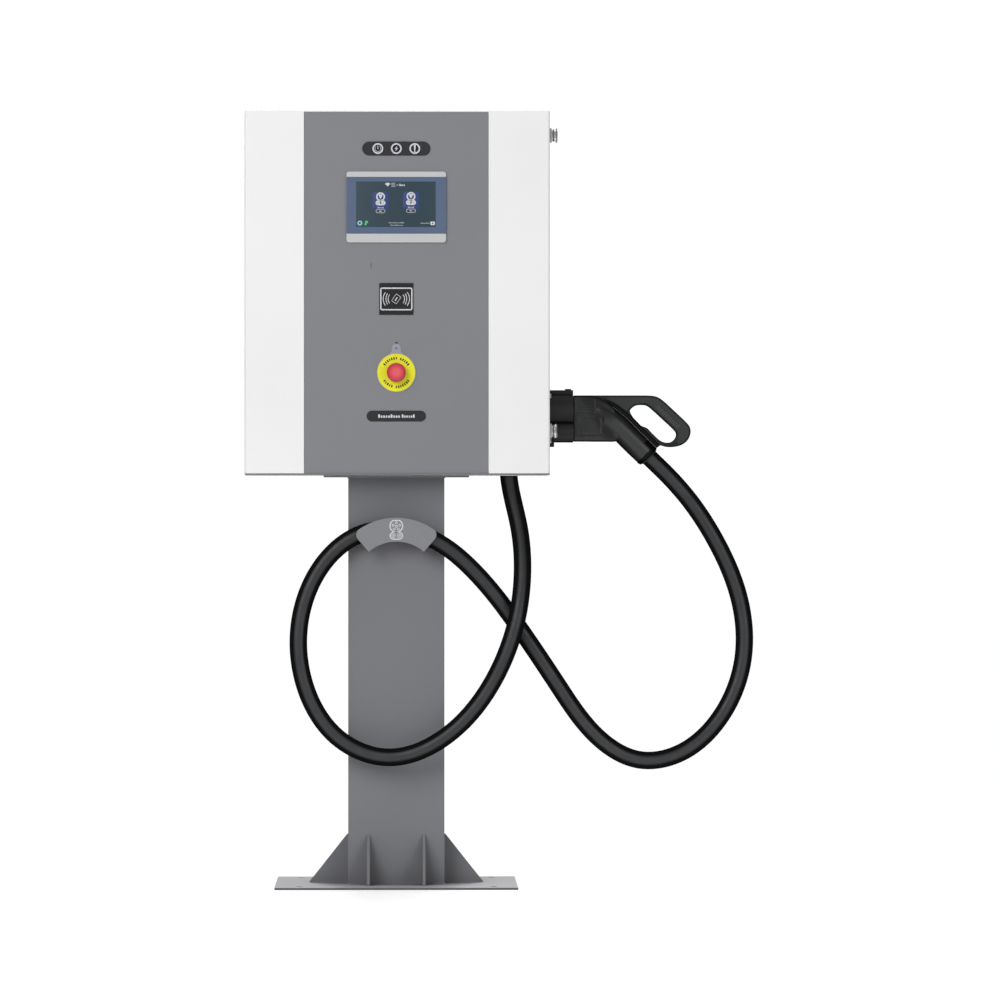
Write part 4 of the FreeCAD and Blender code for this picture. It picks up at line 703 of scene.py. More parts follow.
def make_screen():
    """The lit screen under the cover glass, with a generic charging menu."""
    level = front("display_glass")
    z = level_of("display_bezel")
    mark("screen_area", [[rounded(-0.8, z + 5.3, 152.6, 87.3, 0.8)]], level, SCREEN, rise=0.06)
    level -= 0.06
    blue, white, grey, teal, green, dark = [], [], [], [], [], []
    fan_x, fan_z, reach = -16.6, z + 39.2, 7.4
    turns = [math.radians(a) for a in range(45, 140, 9)]
    fan = [(fan_x + reach * math.cos(a), fan_z + reach * math.sin(a)) for a in turns]
    white.append([[(fan_x, fan_z)] + fan])
    for row in range(3):
        grey.append([rounded(-5.9, z + 39.8 + 2.9 * row, 7.6, 1.5, 0.5)])
    grey += greeked(2.4, z + 42.4, 4, 3.2, 2)
    white += greeked(11.2, z + 42.4, 11, 4.6, 4)
    for x, top in ((-30.2, z + 19.6), (28.1, z + 20.3)):
        pill = top - 11.7
        blue.append([rounded(x, top - 7.4, 30.8, 32.6, 5.0)])
        white.append(hoop(x, top, 8.6, 2.8))
        wedge = [(-4.1, 4.7), (4.1, 4.7), (1.4, -2.6), (0, -3.7), (-1.4, -2.6)]
        white.append([shifted(wedge, x, top)])
        white.append([rounded(x, pill, 19.2, 9.3, 4.6), rounded(x, pill, 2.6, 5.0, 0.6)])
        dark += [[disc(x - 5.8, pill, 0.9, 20)], [disc(x + 5.8, pill, 0.9, 20)]]
        white += greeked(x, top - 20.6, 11.6, 2.6, 6)
        grey.append(frame_of(x, top - 27.4, 18.4, 8.0, 4.0, 1.3))
        white += greeked(x, top - 27.4, 5, 2.6, 3)
    low = z - 30.8
    teal.append(hoop(-69.9, low, 4.7, 2.5))
    dark.append([disc(-69.9, low, 1.2, 20)])
    leaf = [(-3.5, -4.0), (1.2, -4.4), (0.6, -0.8), (4.0, 0.6), (2.8, 4.4), (-1.4, 4.2), (-2.4, -0.2)]
    green.append([shifted(leaf, -57.9, low)])
    grey += greeked(0.3, low + 0.8, 30, 2.4, 14)
    grey += greeked(0.8, low - 3.9, 24, 2.4, 11)
    grey += greeked(55.3, low, 17, 2.4, 8)
    white.append([rounded(69.7, low - 0.4, 8.8, 7.0, 1.8), rounded(69.7, low - 0.4, 2.2, 3.0, 0.5)])
    mark("screen_halo", blue, level, CIRCUIT_BLUE, rise=0.04)
    for name, shapes, material in (
        ("screen_white", white, PRINT),
        ("screen_grey", grey, DIM_PRINT),
        ("screen_teal", teal, TEAL),
        ("screen_green", green, GREEN),
        ("screen_dots", dark, SCREEN),
    ):
        mark(name, shapes, level, material, rise=0.09, bevel=0.02)


def make_reader_marks():
    """A white frame with a tilted card and three waves on each side."""
    level, z, tilt = front("card_reader_window"), level_of("card_reader_window"), -35
    shapes = [frame_of(0, z, 61.9, 43.8, 4, 2.5)]
    shapes.append([turned(rounded(0, z - 0.4, 2.0, 8.2, 0.8), 0, z, tilt)])
    for side in (-1, 1):
        for far, chord, radius in ((25.2, 25.6, 20.4), (19.9, 21.0, 19.4), (15.7, 16.5, 13.6)):
            half = math.degrees(math.asin(chord / 2 / radius))
            centre = 0 if side > 0 else 180
            u = side * (far - radius)
            shapes.append([arc(u, z, radius, centre - half, centre + half, 1.4)])
    card = [turned(loop, 0, z, tilt) for loop in frame_of(0, z, 12.2, 17.0, 1.6, 1.3)]
    mark("reader_marks", shapes, level, PRINT)
    mark("reader_card", [card], level, DIM_PRINT)


def make_stop_marks():
    """Dark ticks round the yellow ring, the lug's hole and the screw above it."""
    z = level_of("estop_ring")
    shapes = []
    for centre in (90, 270):
        for i in range(-6, 7):
            if i == 1:
                continue
            share = GREEK[(i + 6 + (centre == 270) * 4) % len(GREEK)]
            angle = centre - i * 9.2
            u, v = 27.6 * math.cos(math.radians(angle)), 27.6 * math.sin(math.radians(angle))
            tick = rounded(u, z + v, 1.3 + 1.6 * share, 4.0 + 1.2 * share, 0.5, 4)
            shapes.append([turned(tick, u, z + v, angle - 90)])
    mark("stop_ticks", shapes, front("estop_ring"), INK, rise=0.08)
    lug = front("estop_backplate")
    mark("stop_lug_hole", [[disc(0, z + 46.8, 1.8, 32)]], lug, LUG_HOLE, rise=0.06)
    dome_screw("stop_lug_screw", 0, front("front_panel"), z + 56.9, 2.1, BLACK)


def make_label_marks():
    """Two words' worth of plain white blocks."""
    z = level_of("estop_label")
    shapes = greeked(-13.9, z, 43, 6.6, 9) + greeked(22.8, z, 25.6, 6.6, 6)
    mark("label_blocks", shapes, front("estop_label"), PRINT)


def make_hook_marks():
    """A combined connector's face, drawn in white on the hook."""
    z = 693.6
    flat_top = [(x, min(y, z + 11.6)) for x, y in disc(0, z, 13.3, 96)]
    hollow = [(x, min(y, z + 9.6)) for x, y in disc(0, z, 11.0, 96)]
    shapes = [[flat_top, hollow]]
    for i in range(5):
        a = math.radians(90 + 72 * i)
        shapes.append(hoop(6.7 * math.cos(a), z - 0.6 + 6.7 * math.sin(a), 2.6, 1.2))
    shapes.append(hoop(0, z - 0.6, 2.6, 1.2))
    low = z - 19.0
    shapes.append(frame_of(0, low, 26.0, 14.8, 7.4, 2.2))
    for side in (-1, 1):
        shapes.append(hoop(5.4 * side, low, 3.9, 1.2))
        shapes.append([disc(5.4 * side, low, 1.3, 24)])
    mark("hook_marks", shapes, front("hook_plate"), HOOK_PRINT, "root")


# ---- Gun ----

GUN_Y = middle("gun_nose").y / MM


def smooth_steps(points, per):
    """Points on a curve through the given ones."""
    count = len(points)
    found = []
    for i in range(count - 1):
        p = [np.array(points[min(max(i + k, 0), count - 1)], float) for k in (-1, 0, 1, 2)]
        for step in range(per):
            t = step / per
            square = (2 * p[0] - 5 * p[1] + 4 * p[2] - p[3]) * t**2
            cube = (3 * p[1] - p[0] - 3 * p[2] + p[3]) * t**3
            found.append(0.5 * (2 * p[1] + (p[2] - p[0]) * t + square + cube))
    found.append(np.array(points[-1], float))
    return found


def on_section(section, power, angle, lift=0.0):
    """A point on a section (x, z, slope, half-height, half-width) about the gun's plane."""
    x, z, slope, half, wide = section
    lean, c, s = math.radians(slope), math.cos(angle), math.sin(angle)
    side = (wide + lift) * math.copysign(abs(c) ** (2 / power), c)
    rise = (half + lift) * math.copysign(abs(s) ** (2 / power), s)
    return (x - math.sin(lean) * rise, GUN_Y + side, z + math.cos(lean) * rise)


def loft(sections, power, count):
    """Sections joined into a closed form."""
    shape = bmesh.new()
    rings = []
    for section in smooth_steps(sections, 6):
        angles = [math.tau * i / count for i in range(count)]
        points = [Vector(on_section(section, power, a)) * MM for a in angles]
        rings.append([shape.verts.new(point) for point in points])
    skin_over(shape, rings)
    return shape


def remeshed(shape, voxel, rounds):
    """A bmesh's closed forms melted into one skin, then eased."""
    mesh = bpy.data.meshes.new("melt")
    bmesh.ops.recalc_face_normals(shape, faces=shape.faces)
    shape.to_mesh(mesh)
    shape.free()
    temporary = bpy.data.objects.new("melt", mesh)
    bpy.context.scene.collection.objects.link(temporary)
    melt = temporary.modifiers.new("melt", "REMESH")
    melt.mode = "VOXEL"
    melt.voxel_size = voxel * MM
    ease = temporary.modifiers.new("ease", "SMOOTH")
    ease.factor = 0.5
    ease.iterations = rounds
    graph = bpy.context.evaluated_depsgraph_get()
    made = bpy.data.meshes.new_from_object(temporary.evaluated_get(graph))
    bpy.data.objects.remove(temporary)
    result = bmesh.new()
    result.from_mesh(made)
    bpy.data.meshes.remove(made)
    bpy.data.meshes.remove(mesh)
    return result


def step(value, edge, width):
    """0 below an edge and 1 above it, with a soft change."""
    t = np.clip((value - edge) / width + 0.5, 0, 1)
    return t * t * (3 - 2 * t)


def inside_box(x, z, left, right, low, high, soft):
    """1 inside a rectangle and 0 outside it, with soft edges."""
    across = step(x, left, soft) * (1 - step(x, right, soft))
    return across * step(z, low, soft) * (1 - step(z, high, soft))


def carve_gun(shape):
    """The head's side panels and grip lines, pressed into both flat sides."""
    points = np.array([v.co for v in shape.verts]) / MM
    x, z = points[:, 0], points[:, 2]
    out, wide, soft, pitch = points[:, 1] - GUN_Y, 22, 4, 5.4
    side, flat = np.sign(out), step(np.abs(out), wide, soft)
    press = 1.6 * inside_box(x, z, 352.6, 400, 868, 905.5, 1.6)
    press -= 0.9 * inside_box(x, z, 357, 395.6, 872.4, 901.2, 1.6)
    lines = 0.5 - 0.5 * np.cos((z - 911) / pitch * math.tau)
    press += 1.1 * lines * inside_box(x, z, 347.5, 384, 911, 938, 3)
    points[:, 1] -= side * press * flat
    for vertex, point in zip(shape.verts, points):
        vertex.co = Vector(point) * MM


HEAD = [
    (343.0, 901.0, 0, 44.4, 27.0),
    (362.0, 901.0, 0, 44.4, 27.0),
    (380.0, 900.2, 0, 43.8, 27.0),
    (396.0, 897.8, 0, 41.4, 26.8),
    (410.0, 894.2, 0, 37.8, 26.4),
    (421.0, 888.8, 0, 32.4, 26.0),
    (430.0, 883.0, 0, 24.0, 23.0),
    (438.0, 879.0, 0, 12.0, 13.0),
]
GRIP = [
    (372.0, 919.0, 0, 24.0, 22.0),
    (386.0, 917.4, -12, 24.4, 27.0),
    (400.0, 910.4, -31, 24.6, 29.6),
    (414.0, 899.6, -39, 24.6, 30.4),
    (428.5, 888.1, -43, 24.5, 30.2),
    (442.0, 874.8, -45, 24.4, 29.2),
    (454.4, 862.2, -45, 24.4, 27.8),
    (471.2, 845.6, -45, 24.2, 25.8),
    (482.0, 834.8, -45, 23.6, 24.2),
    (486.8, 830.0, -45, 22.6, 22.8),
    (488.8, 828.0, -45, 21.2, 21.2),
]
GRIP_POWER = 2.1


def make_gun_body():
    """The two shells as one moulding: a boxy head that a slanted round grip grows out of."""
    both = melted([loft(HEAD, 7.0, 96), loft(GRIP, GRIP_POWER, 72)])
    shape = remeshed(both, 0.85, 5)
    carve_gun(shape)
    piece = add_piece("gun_body", shape, GUN, "gun", 180)
    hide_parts("gun_shell_front", "gun_shell_rear")


HANDLE_OUTLINE = [
    (343.4, 943), (343.4, 946), (346.4, 946), (400, 946), (450, 946), (490, 946), (502, 944.6),
    (513, 939.5), (540, 914.5), (564, 892), (569.6, 883), (570.2, 872), (565, 859), (552, 849),
    (535, 845.6), (520, 846.6), (511, 850.4), (504, 843.0), (492, 850), (470, 872), (440, 897),
    (410, 918), (392, 926), (346, 930),
]
HANDLE_HOLE = [
    (451.4, 914.6), (453.6, 919.6), (462.0, 926.2), (470.0, 927.6), (483.0, 927.4), (491.0, 922.6),
    (515.0, 900.4), (536.0, 881.2), (542.4, 873.6), (541.6, 864.4), (534.0, 856.0), (524.0, 853.8),
    (512.0, 857.0), (502.0, 866.0), (492.0, 876.0), (486.0, 883.0), (478.4, 885.6), (472.0, 888.0),
    (461.0, 899.4),
]
HANDLE_LIT_INLAY = [
    (402, 942.4), (450, 942.4), (489, 942.4), (500.5, 941.2), (511, 936.6), (537.5, 911.8),
    (561, 889.8), (566, 882), (566.6, 873), (562, 861.5), (552, 853.4), (545, 851.2), (543, 855.5),
    (545.4, 862.8), (546.2, 874.4), (538.8, 883.8), (517.6, 903.2), (493.6, 925.6), (484.5, 931.2),
    (469.8, 931.4), (460.5, 929.8), (450.2, 921.8), (447.6, 914.8), (440, 919.5), (428, 928.5),
    (415, 935.5), (404, 940),
]


def rounded_path(points):
    """A closed outline with its corners rounded by repeated corner cutting."""
    loop = [np.array(p, float) for p in points]
    for _ in range(3):
        cut = []
        for i, here in enumerate(loop):
            after = loop[(i + 1) % len(loop)]
            cut += [here * 0.75 + after * 0.25, here * 0.25 + after * 0.75]
        loop = cut
    return [tuple(p) for p in loop]


def make_gun_handle():
    """A closed loop of rubber-skinned bar with a row of grip ribs on each side; the loop is dark as
    painted shade, and a paler inlay on each side stands for its lit faces.
    """
    half = 14.0
    loops = [rounded_path(HANDLE_OUTLINE), rounded_path(HANDLE_HOLE)]
    bar = moved(solid_from([loops], half * 2, 3.3, 5), y=GUN_Y - half)
    piece = add_piece("gun_loop", bar, HANDLE_EDGE_SHADE, "gun", 180)
    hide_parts("gun_handle")
    # The paler inlays are the lit faces and the dark loop round them is painted shade.
    inlay = [[rounded_path(HANDLE_LIT_INLAY)]]
    for name, level in (("front", GUN_Y - half - 0.4), ("rear", GUN_Y + half - 0.8)):
        shape = moved(solid_from(inlay, 1.2, 0.5, 3), y=level)
        add_piece(f"gun_inlay_{name}", shape, HANDLE, "gun", 40)
    first, along, pitch, lean = np.array((504.5, 924.0)), np.array((0.724, -0.69)), 4.1, -43.6
    ribs = []
    for i in range(15):
        u, v = first + along * pitch * i
        ribs.append([turned(rounded(u, v, 2.0, 9.0, 1.0, 6), u, v, lean)])
    for name, level in (("front", GUN_Y - half - 0.9), ("rear", GUN_Y + half - 0.3)):
        shape = moved(solid_from(ribs, 1.2, 0.4, 2), y=level)
        add_piece(f"gun_ribs_{name}", shape, RIB, "gun", 60)


def beside_grip(reach, out, first, last):
    """A line along the grip: in-plane reach from its centre line and distance out from its plane."""
    line = []
    for x, z, slope, *_ in smooth_steps(GRIP, per=6):
        lean = math.radians(slope)
        px, pz = x - math.sin(lean) * reach, z + math.cos(lean) * reach
        if first <= px <= last:
            line.append((px, GUN_Y + out, pz))
    return line


def make_gun_seams():
    """On both sides, a raised seam along the grip's top, pale as a painted highlight, and a black strip
    next to the handle as painted shade.
    """
    seams, shoulder_shade = bmesh.new(), bmesh.new()
    for side in (-1, 1):
        sweep(beside_grip(21.9, 14.6 * side, 372, 503.5), 0.85, 12, seams)
        line = beside_grip(26.2, 11.0 * side, 386, 506)
        radii = [1.8 + 3.6 * min(1.0, i / 12) for i in range(len(line))]
        sweep(line, radii, 24, shoulder_shade)
    add_piece("gun_seams", seams, SEAM_HIGHLIGHT, "gun", 60)
    add_piece("gun_shoulder_shade", shoulder_shade, GUN_BLACK_AND_SHADE, "gun", 60)


def make_gun_painted_shadows():
    """A black patch on each side of the grip, above its end ring, as a painted shadow of the handle."""
    shape = bmesh.new()
    sections = smooth_steps(GRIP[7:10], per=10)
    columns, stop, rise = 12, 1.12, 0.5
    for front_side in (True, False):
        grid = []
        for row, section in enumerate(sections):
            share = row / (len(sections) - 1)
            start = 0.40 + 0.05 * share
            line = []
            for column in range(columns + 1):
                spread = start + (stop - start) * column / columns
                at_edge = row in (0, len(sections) - 1) or column in (0, columns)
                angle = math.pi - spread if front_side else spread
                point = on_section(section, GRIP_POWER, angle, 0.0 if at_edge else rise)
                line.append(shape.verts.new(Vector(point) * MM))
            grid.append(line)
        for one, other in zip(grid, grid[1:]):
            for k in range(columns):
                shape.faces.new((one[k], one[k + 1], other[k + 1], other[k]))
    add_piece("gun_painted_shadows", shape, GUN_BLACK_AND_SHADE, "gun", 60)


def make_gun_sleeve():
    """The grip's end ring and the soft sleeve that hugs the cable."""
    x, z, slope = GRIP[-1][:3]
    lean = math.radians(slope)
    along, end = (math.cos(lean), 0, math.sin(lean)), Vector((x, GUN_Y, z))
    profile = [(19.2, 0.5), (19.0, 2.2), (18.0, 3.0), (17.4, 3.0), (17.4, -4), (19.2, -4), (19.2, 0.5)]
    piece = add_piece("gun_sleeve", stand(lathe(profile, 64), end, along), RUBBER, "gun", 50)
    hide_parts("gun_boot")
    band = [(23.6, -8.0), (24.4, -7.2), (24.0, -3.6), (23.1, -1.4), (21.6, 0.8), (18.6, 1.4), (18.6, -3)]
    add_piece("gun_end_ring", stand(lathe(band, 64), end, along), GUN_BLACK_AND_SHADE, "gun", 40)


# ---- Charging cable ----

CABLE_VIA = [
    (216.5, -8, 836), (217, -9, 797), (236, -45, 695), (242, -90, 590), (231, -112, 513),
    (187, -112, 398), (84, -104, 282), (-12, -96, 249), (-108, -90, 283), (-179, -84, 398),
    (-185, -78, 513), (-135, -74, 628), (-71, -71, 677), (0, -71, 686.2), (73, -71, 666),
    (142, -71, 614), (232, -71, 504), (315, -62, 381), (392, -52, 283), (469, -42, 242),
    (547, -30, 254), (625, -15, 321), (671, -5, 434), (665, 2, 550), (618, 6, 666), (568, 7, 743),
    (517.2, 7, 799.8), (498.5, 7, 817.9), (482.7, 7, 833.2),
]


def spline_through(points, spacing):
    """Evenly spaced points on the natural cubic curve through points, spaced by chord length."""
    points = np.array(points, float)
    gaps = np.linalg.norm(np.diff(points, axis=0), axis=1)
    times = np.concatenate(([0], np.cumsum(gaps)))
    count = len(points)
    system, right = np.zeros((count, count)), np.zeros((count, 3))
    system[0, 0] = system[-1, -1] = 1
    for i in range(1, count - 1):
        before, after = gaps[i - 1], gaps[i]
        system[i, i - 1 : i + 2] = before, 2 * (before + after), after
        bend = (points[i + 1] - points[i]) / after - (points[i] - points[i - 1]) / before
        right[i] = 6 * bend
    bends = np.linalg.solve(system, right)
    wanted = np.linspace(0, times[-1], int(times[-1] / spacing) + 1)
    found = []
    for t in wanted:
        i = min(int(np.searchsorted(times, t, side="right")) - 1, count - 2)
        h = gaps[i]
        a, b = (times[i + 1] - t) / h, (t - times[i]) / h
        curve = ((a**3 - a) * bends[i] + (b**3 - b) * bends[i + 1]) * h * h / 6
        found.append(a * points[i] + b * points[i + 1] + curve)
    return found


def sweep(centres, radius, count=40, shape=None):
    """A round bar along points, of one radius or one for each point, with its ends closed."""
    shape = shape or bmesh.new()
    centres = [Vector(c) for c in centres]
    radii = radius if isinstance(radius, list) else [radius] * len(centres)
    side = Vector((0, 1, 0))
    rings = []
    for i, centre in enumerate(centres):
        before, after = centres[max(i - 1, 0)], centres[min(i + 1, len(centres) - 1)]
        along = (after - before).normalized()
        side = (side - along * side.dot(along)).normalized()
        rings.append(ring_about(shape, centre, side, along.cross(side), radii[i], count))
    skin_over(shape, rings)
    return shape


def make_cable():
    """One smooth cable that bends from the post to the gun."""
    shape = sweep(spline_through(CABLE_VIA, 5.0), 17.0)
    piece = add_piece("cable", shape, JACKET, None, 60)
    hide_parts("charging_cable")
    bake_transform(piece)


# ---- Trim: painted shade on the locks, along the door's lower edge and on the anchor holes' walls ----


def make_lock_rings():
    """Dark rings of painted shade on each chrome lock, one round its waist and one round its cap."""
    (_, near, _), (outside, far, _) = corners_of("lock_barrels")
    for label in ("upper", "lower"):
        (_, _, low), (_, _, high) = corners_of(f"{label}_lock_plug")
        waist_shade = [(11.6, 1.7), (11.9, 2.2), (11.9, 3.9), (11.6, 4.4), (10.6, 4.4), (10.6, 1.7), (11.6, 1.7)]
        rim_shade = [(13.7, 8.4), (13.9, 8.9), (13.2, 10.3), (12.4, 10.5), (12.4, 8.4), (13.7, 8.4)]
        for part, profile in (("waist_shade", waist_shade), ("rim_shade", rim_shade)):
            shape = stand(lathe(profile, 48), (outside, (near + far) / 2, (low + high) / 2), (1, 0, 0))
            add_piece(f"{label}_lock_{part}", shape, LOCK_SHADE, f"{label}_lock", 50)


def make_door_edge_shade():
    """A grey strip along the door's lower edge, as painted shade under the door."""
    (left, _, low), (right, _, _) = corners_of("door_shell")
    strip = rounded((left + right) / 2, low + 0.5, right - left - 0.4, 3.2, 0.5, 4)
    mark("door_edge_shade", [[strip]], front("door_shell"), DOOR_EDGE_SHADE, rise=0.25, bevel=0.1)


def make_hole_walls():
    """The walls of the base plate's anchor holes, dark as painted shade."""
    outer, inner, low, high = 6.98, 6.6, 0.2, 3.4
    half_x, half_y = 186, 155
    profile = [(outer, low), (outer, high), (inner, high), (inner, low), (outer, low)]
    walls = [moved(lathe(profile, 32), x, y) for x in (-half_x, half_x) for y in (-half_y, half_y)]
    add_piece("hole_walls", melted(walls), HOLE_SHADE, "root", 50)


# ---- Inside: wiring ducts, wires, the board's parts and the door's loom ----


def melted(parts):
    """Several bmeshes as one."""
    whole = bmesh.new()
    for part in parts:
        mesh = bpy.data.meshes.new("part")
        bmesh.ops.recalc_face_normals(part, faces=part.faces)
        part.to_mesh(mesh)
        part.free()
        whole.from_mesh(mesh)
        bpy.data.meshes.remove(mesh)
    return whole


def block(low, high):
    """A bmesh box between two corners in millimetres."""
    shape = bmesh.new()
    bmesh.ops.create_cube(shape, size=MM)
    low, high = Vector(low), Vector(high)
    size = high - low
    bmesh.ops.scale(shape, verts=shape.verts, vec=size)
    return moved(shape, *((low + high) / 2))


def duct(left, right, low, high, along_x):
    """A slotted wiring duct on the mounting plate: a back, a lid and a row of fingers."""
    back, lid, wall, finger, pitch = front("mounting_plate") - 0.2, 68.0, 1.4, 4.5, 8.0
    parts = [block((left, y, low), (right, y + wall, high)) for y in (back - wall, lid)]
    start, stop = (left, right) if along_x else (low, high)
    at = start + 2
    while at + finger < stop:
        for near in ((low, high) if along_x else (left, right)):
            edge = near if near in (low, left) else near - wall
            one = (at, lid, edge) if along_x else (edge, lid, at)
            long, tall = (finger, wall) if along_x else (wall, finger)
            parts.append(block(one, (one[0] + long, back, one[2] + tall)))
        at += pitch
    return parts


def make_ducts():
    """One duct across under the power module and one up beside the control board."""
    parts = duct(-240, 244, 970, 1002, True) + duct(-82, -63, 1002.5, 1458, False)
    add_piece("wiring_ducts", melted(parts), DUCT, "root", 30)


def wires(name, paths, radius, material, body="root"):
    """Round wires, each along a smooth path in millimetres."""
    parts = [sweep(spline_through(path, 3.0), radius, 16) for path in paths]
    add_piece(name, melted(parts), material, body, 60)


def make_inside_wires():
    """From the breaker, the meter, the power module, the contactors and the board into the ducts."""
    top, into = corner("supply_breaker", 1, 2), 978
    risers = [[(x, 76, top), (x, 76, top + 8), (x + 2, 80, into)] for x in (-186, -164, -142)]
    wires("breaker_wires", risers, 3.2, WIRE_BLACK)
    meter_top = corner("energy_meter", 1, 2)
    thin = [[(x, 78, meter_top), (x, 78, meter_top + 8), (x + 1, 82, into)] for x in (-102, -90, -70, -58)]
    wires("meter_wires", thin, 1.5, WIRE_BLUE)
    module_low = corner("power_module", 0, 2)
    hot, cold = [], []
    for x, group in ((30, hot), (52, hot), (128, cold), (150, cold)):
        group.append([(x, 60, module_low), (x, 60, module_low - 8), (x, 76, 996)])
    posts, level = front("dc_contactors"), level_of("dc_contactors")
    bends = [(posts - 1, level), (posts - 10, level + 3), (posts - 13, level + 26)]
    bends += [(52, level + 74), (82, 974)]
    for x, group in ((76, hot), (124, cold)):
        group.append([(x, *bend) for bend in bends])
    wires("positive_wires", hot, 4.2, LEAD)
    wires("negative_wires", cold, 4.2, WIRE_BLACK)
    board = [
        [(-91, 84, z), (-87, 78, z - 1), (-80, 76, z - 6), (-74, 80, z - 12)]
        for z in range(1232, 1376, 12)
    ]
    wires("board_wires", board, 1.1, WIRE_BLUE)


def make_board_parts():
    """Black chips and relays over the board's blocks, capacitors and a white terminal strip."""
    left, _, bottom = corners_of("control_board")[0]
    face = front("mounting_plate") - 14
    chips = []
    lumps = (20, 30, 40, 40, 4), (80, 20, 50, 25, 12), (85, 70, 22, 60, 16), (25, 100, 36, 50, 10)
    for dx, dz, wide, tall, rise in lumps:
        centre = (left + dx + wide / 2, bottom + dz + tall / 2)
        lump = solid_from([[rounded(*centre, wide + 0.6, tall + 0.6, 0.8)]], rise + 0.2, 0.4)
        chips.append(moved(lump, y=face - rise - 0.3))
    for i in range(8):
        x, z = left + 12 + 9 * i, bottom + 86
        chips.append(block((x, face - 1.2, z), (x + 5, face - 0.1, z + 3)))
    add_piece("board_chips", melted(chips), BLACK, "root", 40)
    cans = []
    profile = [(5.2, 0.1), (5.2, 12.4), (4.8, 13.0), (0, 13.0)]
    for dx, dz in ((76, 148), (90, 148), (104, 148), (76, 162), (90, 162), (70, 56), (70, 70)):
        cans.append(stand(lathe(profile, 24), (left + dx, face, bottom + dz), (0, -1, 0)))
    add_piece("board_capacitors", melted(cans), SATIN, "root", 50)
    strip = []
    for i in range(12):
        z = bottom + 16 + 12 * i
        strip.append(block((left + 139, face - 10, z), (left + 148, face - 0.1, z + 11)))
    add_piece("board_terminals", melted(strip), BREAKER, "root", 30)


def make_door_loom():
    """Thin leads on the door's back from the lamps, display, reader and stop to a clamp by the hinges."""
    back = -117.0
    bends = ((-45, 1226), (-46, 1140), (-48, 1050), (-64, 1022), (-110, 1016), (-200, 1016))
    trunk = [(-40, -111, 1247)] + [(x, back, z) for x, z in bends]
    reader = [(-33, -114, 1129), (-40, back + 1, 1124), (-45.5, back, 1106)]
    stop = [(-14, -98, 988), (-30, -104, 994), (-56, back + 2, 1016), (-90, back + 1, 1016.5)]
    wires("door_loom", [trunk], 3.6, WIRE_BLACK, "door")
    wires("door_branches", [reader, stop], 2.2, WIRE_BLACK, "door")
    lamps = [
        [(x, -118, 1414), (x, -116, 1404), (x * 0.7, -113, 1382), (x * 0.6, -111, 1363)]
        for x in (-LAMP_PITCH, 0, LAMP_PITCH)
    ]
    wires("lamp_wires", lamps, 1.3, WIRE_BLUE, "door")
    clamps = []
    for x, z, half_x, half_z in ((-200, 1016, 3, 6), (-120, 1016, 3, 6), (-46, 1150, 6, 3)):
        clamps.append(block((x - half_x, back - 4.5, z - half_z), (x + half_x, back + 4.5, z + half_z)))
    add_piece("loom_clamps", melted(clamps), BREAKER, "door", 30)


def make_back_bolts():
    """The domed heads of the mounting plate's studs on the cabinet's back."""
    back = corner("cabinet_body", 1, 1)
    parts = []
    profile = [(6.0, 0.0), (6.0, 0.6), (5.2, 2.0), (3.2, 3.0), (0, 3.3)]
    for x, z in ((-230, 855), (-230, 1445), (250, 855), (250, 1445)):
        parts.append(stand(lathe(profile, 32), (x, back, z), (0, 1, 0)))
    add_piece("back_bolts", melted(parts), WHITE, "root", 60)


# ---- Weld beads ----


def bead(shape, start, end, size):
    """A weld bead between two points: overlapping ripples on a half-round run."""
    start, end = Vector(start), Vector(end)
    along = (end - start).normalized()
    side = along.cross(Vector((0, 0, 1)))
    if side.length < 0.1:
        side = along.cross(Vector((1, 0, 0)))
    side.normalize()
    other = along.cross(side)
    length = (end - start).length
    spacing, ripple = 0.9, 3.1
    count = max(int(length / spacing), 4)
    rings = []
    for i in range(count + 1):
        t = length * i / count
        phase = (t / ripple) % 1.0
        radius = size * (0.82 + 0.24 * math.sqrt(max(1 - phase, 0)) + 0.05 * math.sin(t * 1.7))
        if i in (0, count):
            radius *= 0.45
        rings.append(ring_about(shape, start + along * t, side, other, radius, 10))
    skin_over(shape, rings)


def make_welds():
    """Beads round the column's foot and head and along the gussets."""
    (left, near, foot), (right, far, head) = corners_of("column")
    shape = bmesh.new()
    corners = [(left, near), (right, near), (right, far), (left, far)]
    for level, size in ((foot, 2.2), (head, 1.8)):
        for i, (x, y) in enumerate(corners):
            to_x, to_y = corners[(i + 1) % 4]
            bead(shape, (x, y, level), (to_x, to_y, level), size)
    rise, reach, half, apart = 86, 68, 2.6, 53.5
    gussets = [(left, 0, -1, 0), (right, 0, 1, 0)]
    for y, dy in ((near, -1), (far, 1)):
        gussets += [(-apart, y, 0, dy), (apart, y, 0, dy)]
    for x, y, dx, dy in gussets:
        for side in (-half, half):
            ox, oy = (side, 0) if dy else (0, side)
            bead(shape, (x + ox, y + oy, foot), (x + ox, y + oy, foot + rise), 1.5)
            to = (x + ox + dx * reach, y + oy + dy * reach, foot)
            bead(shape, (x + ox, y + oy, foot), to, 1.5)
    add_piece("weld_beads", shape, PEDESTAL, "root", 70)


for make in (
    make_indicator_marks, make_screen, make_reader_marks, make_stop_marks, make_label_marks,
    make_hook_marks, make_gun_body, make_gun_handle, make_gun_seams, make_gun_painted_shadows,
    make_gun_sleeve, make_cable, make_lock_rings, make_door_edge_shade, make_hole_walls, make_ducts,
    make_inside_wires, make_board_parts, make_door_loom, make_back_bolts, make_welds,
):
    make()


# ---- The stage: floor, light and camera ----


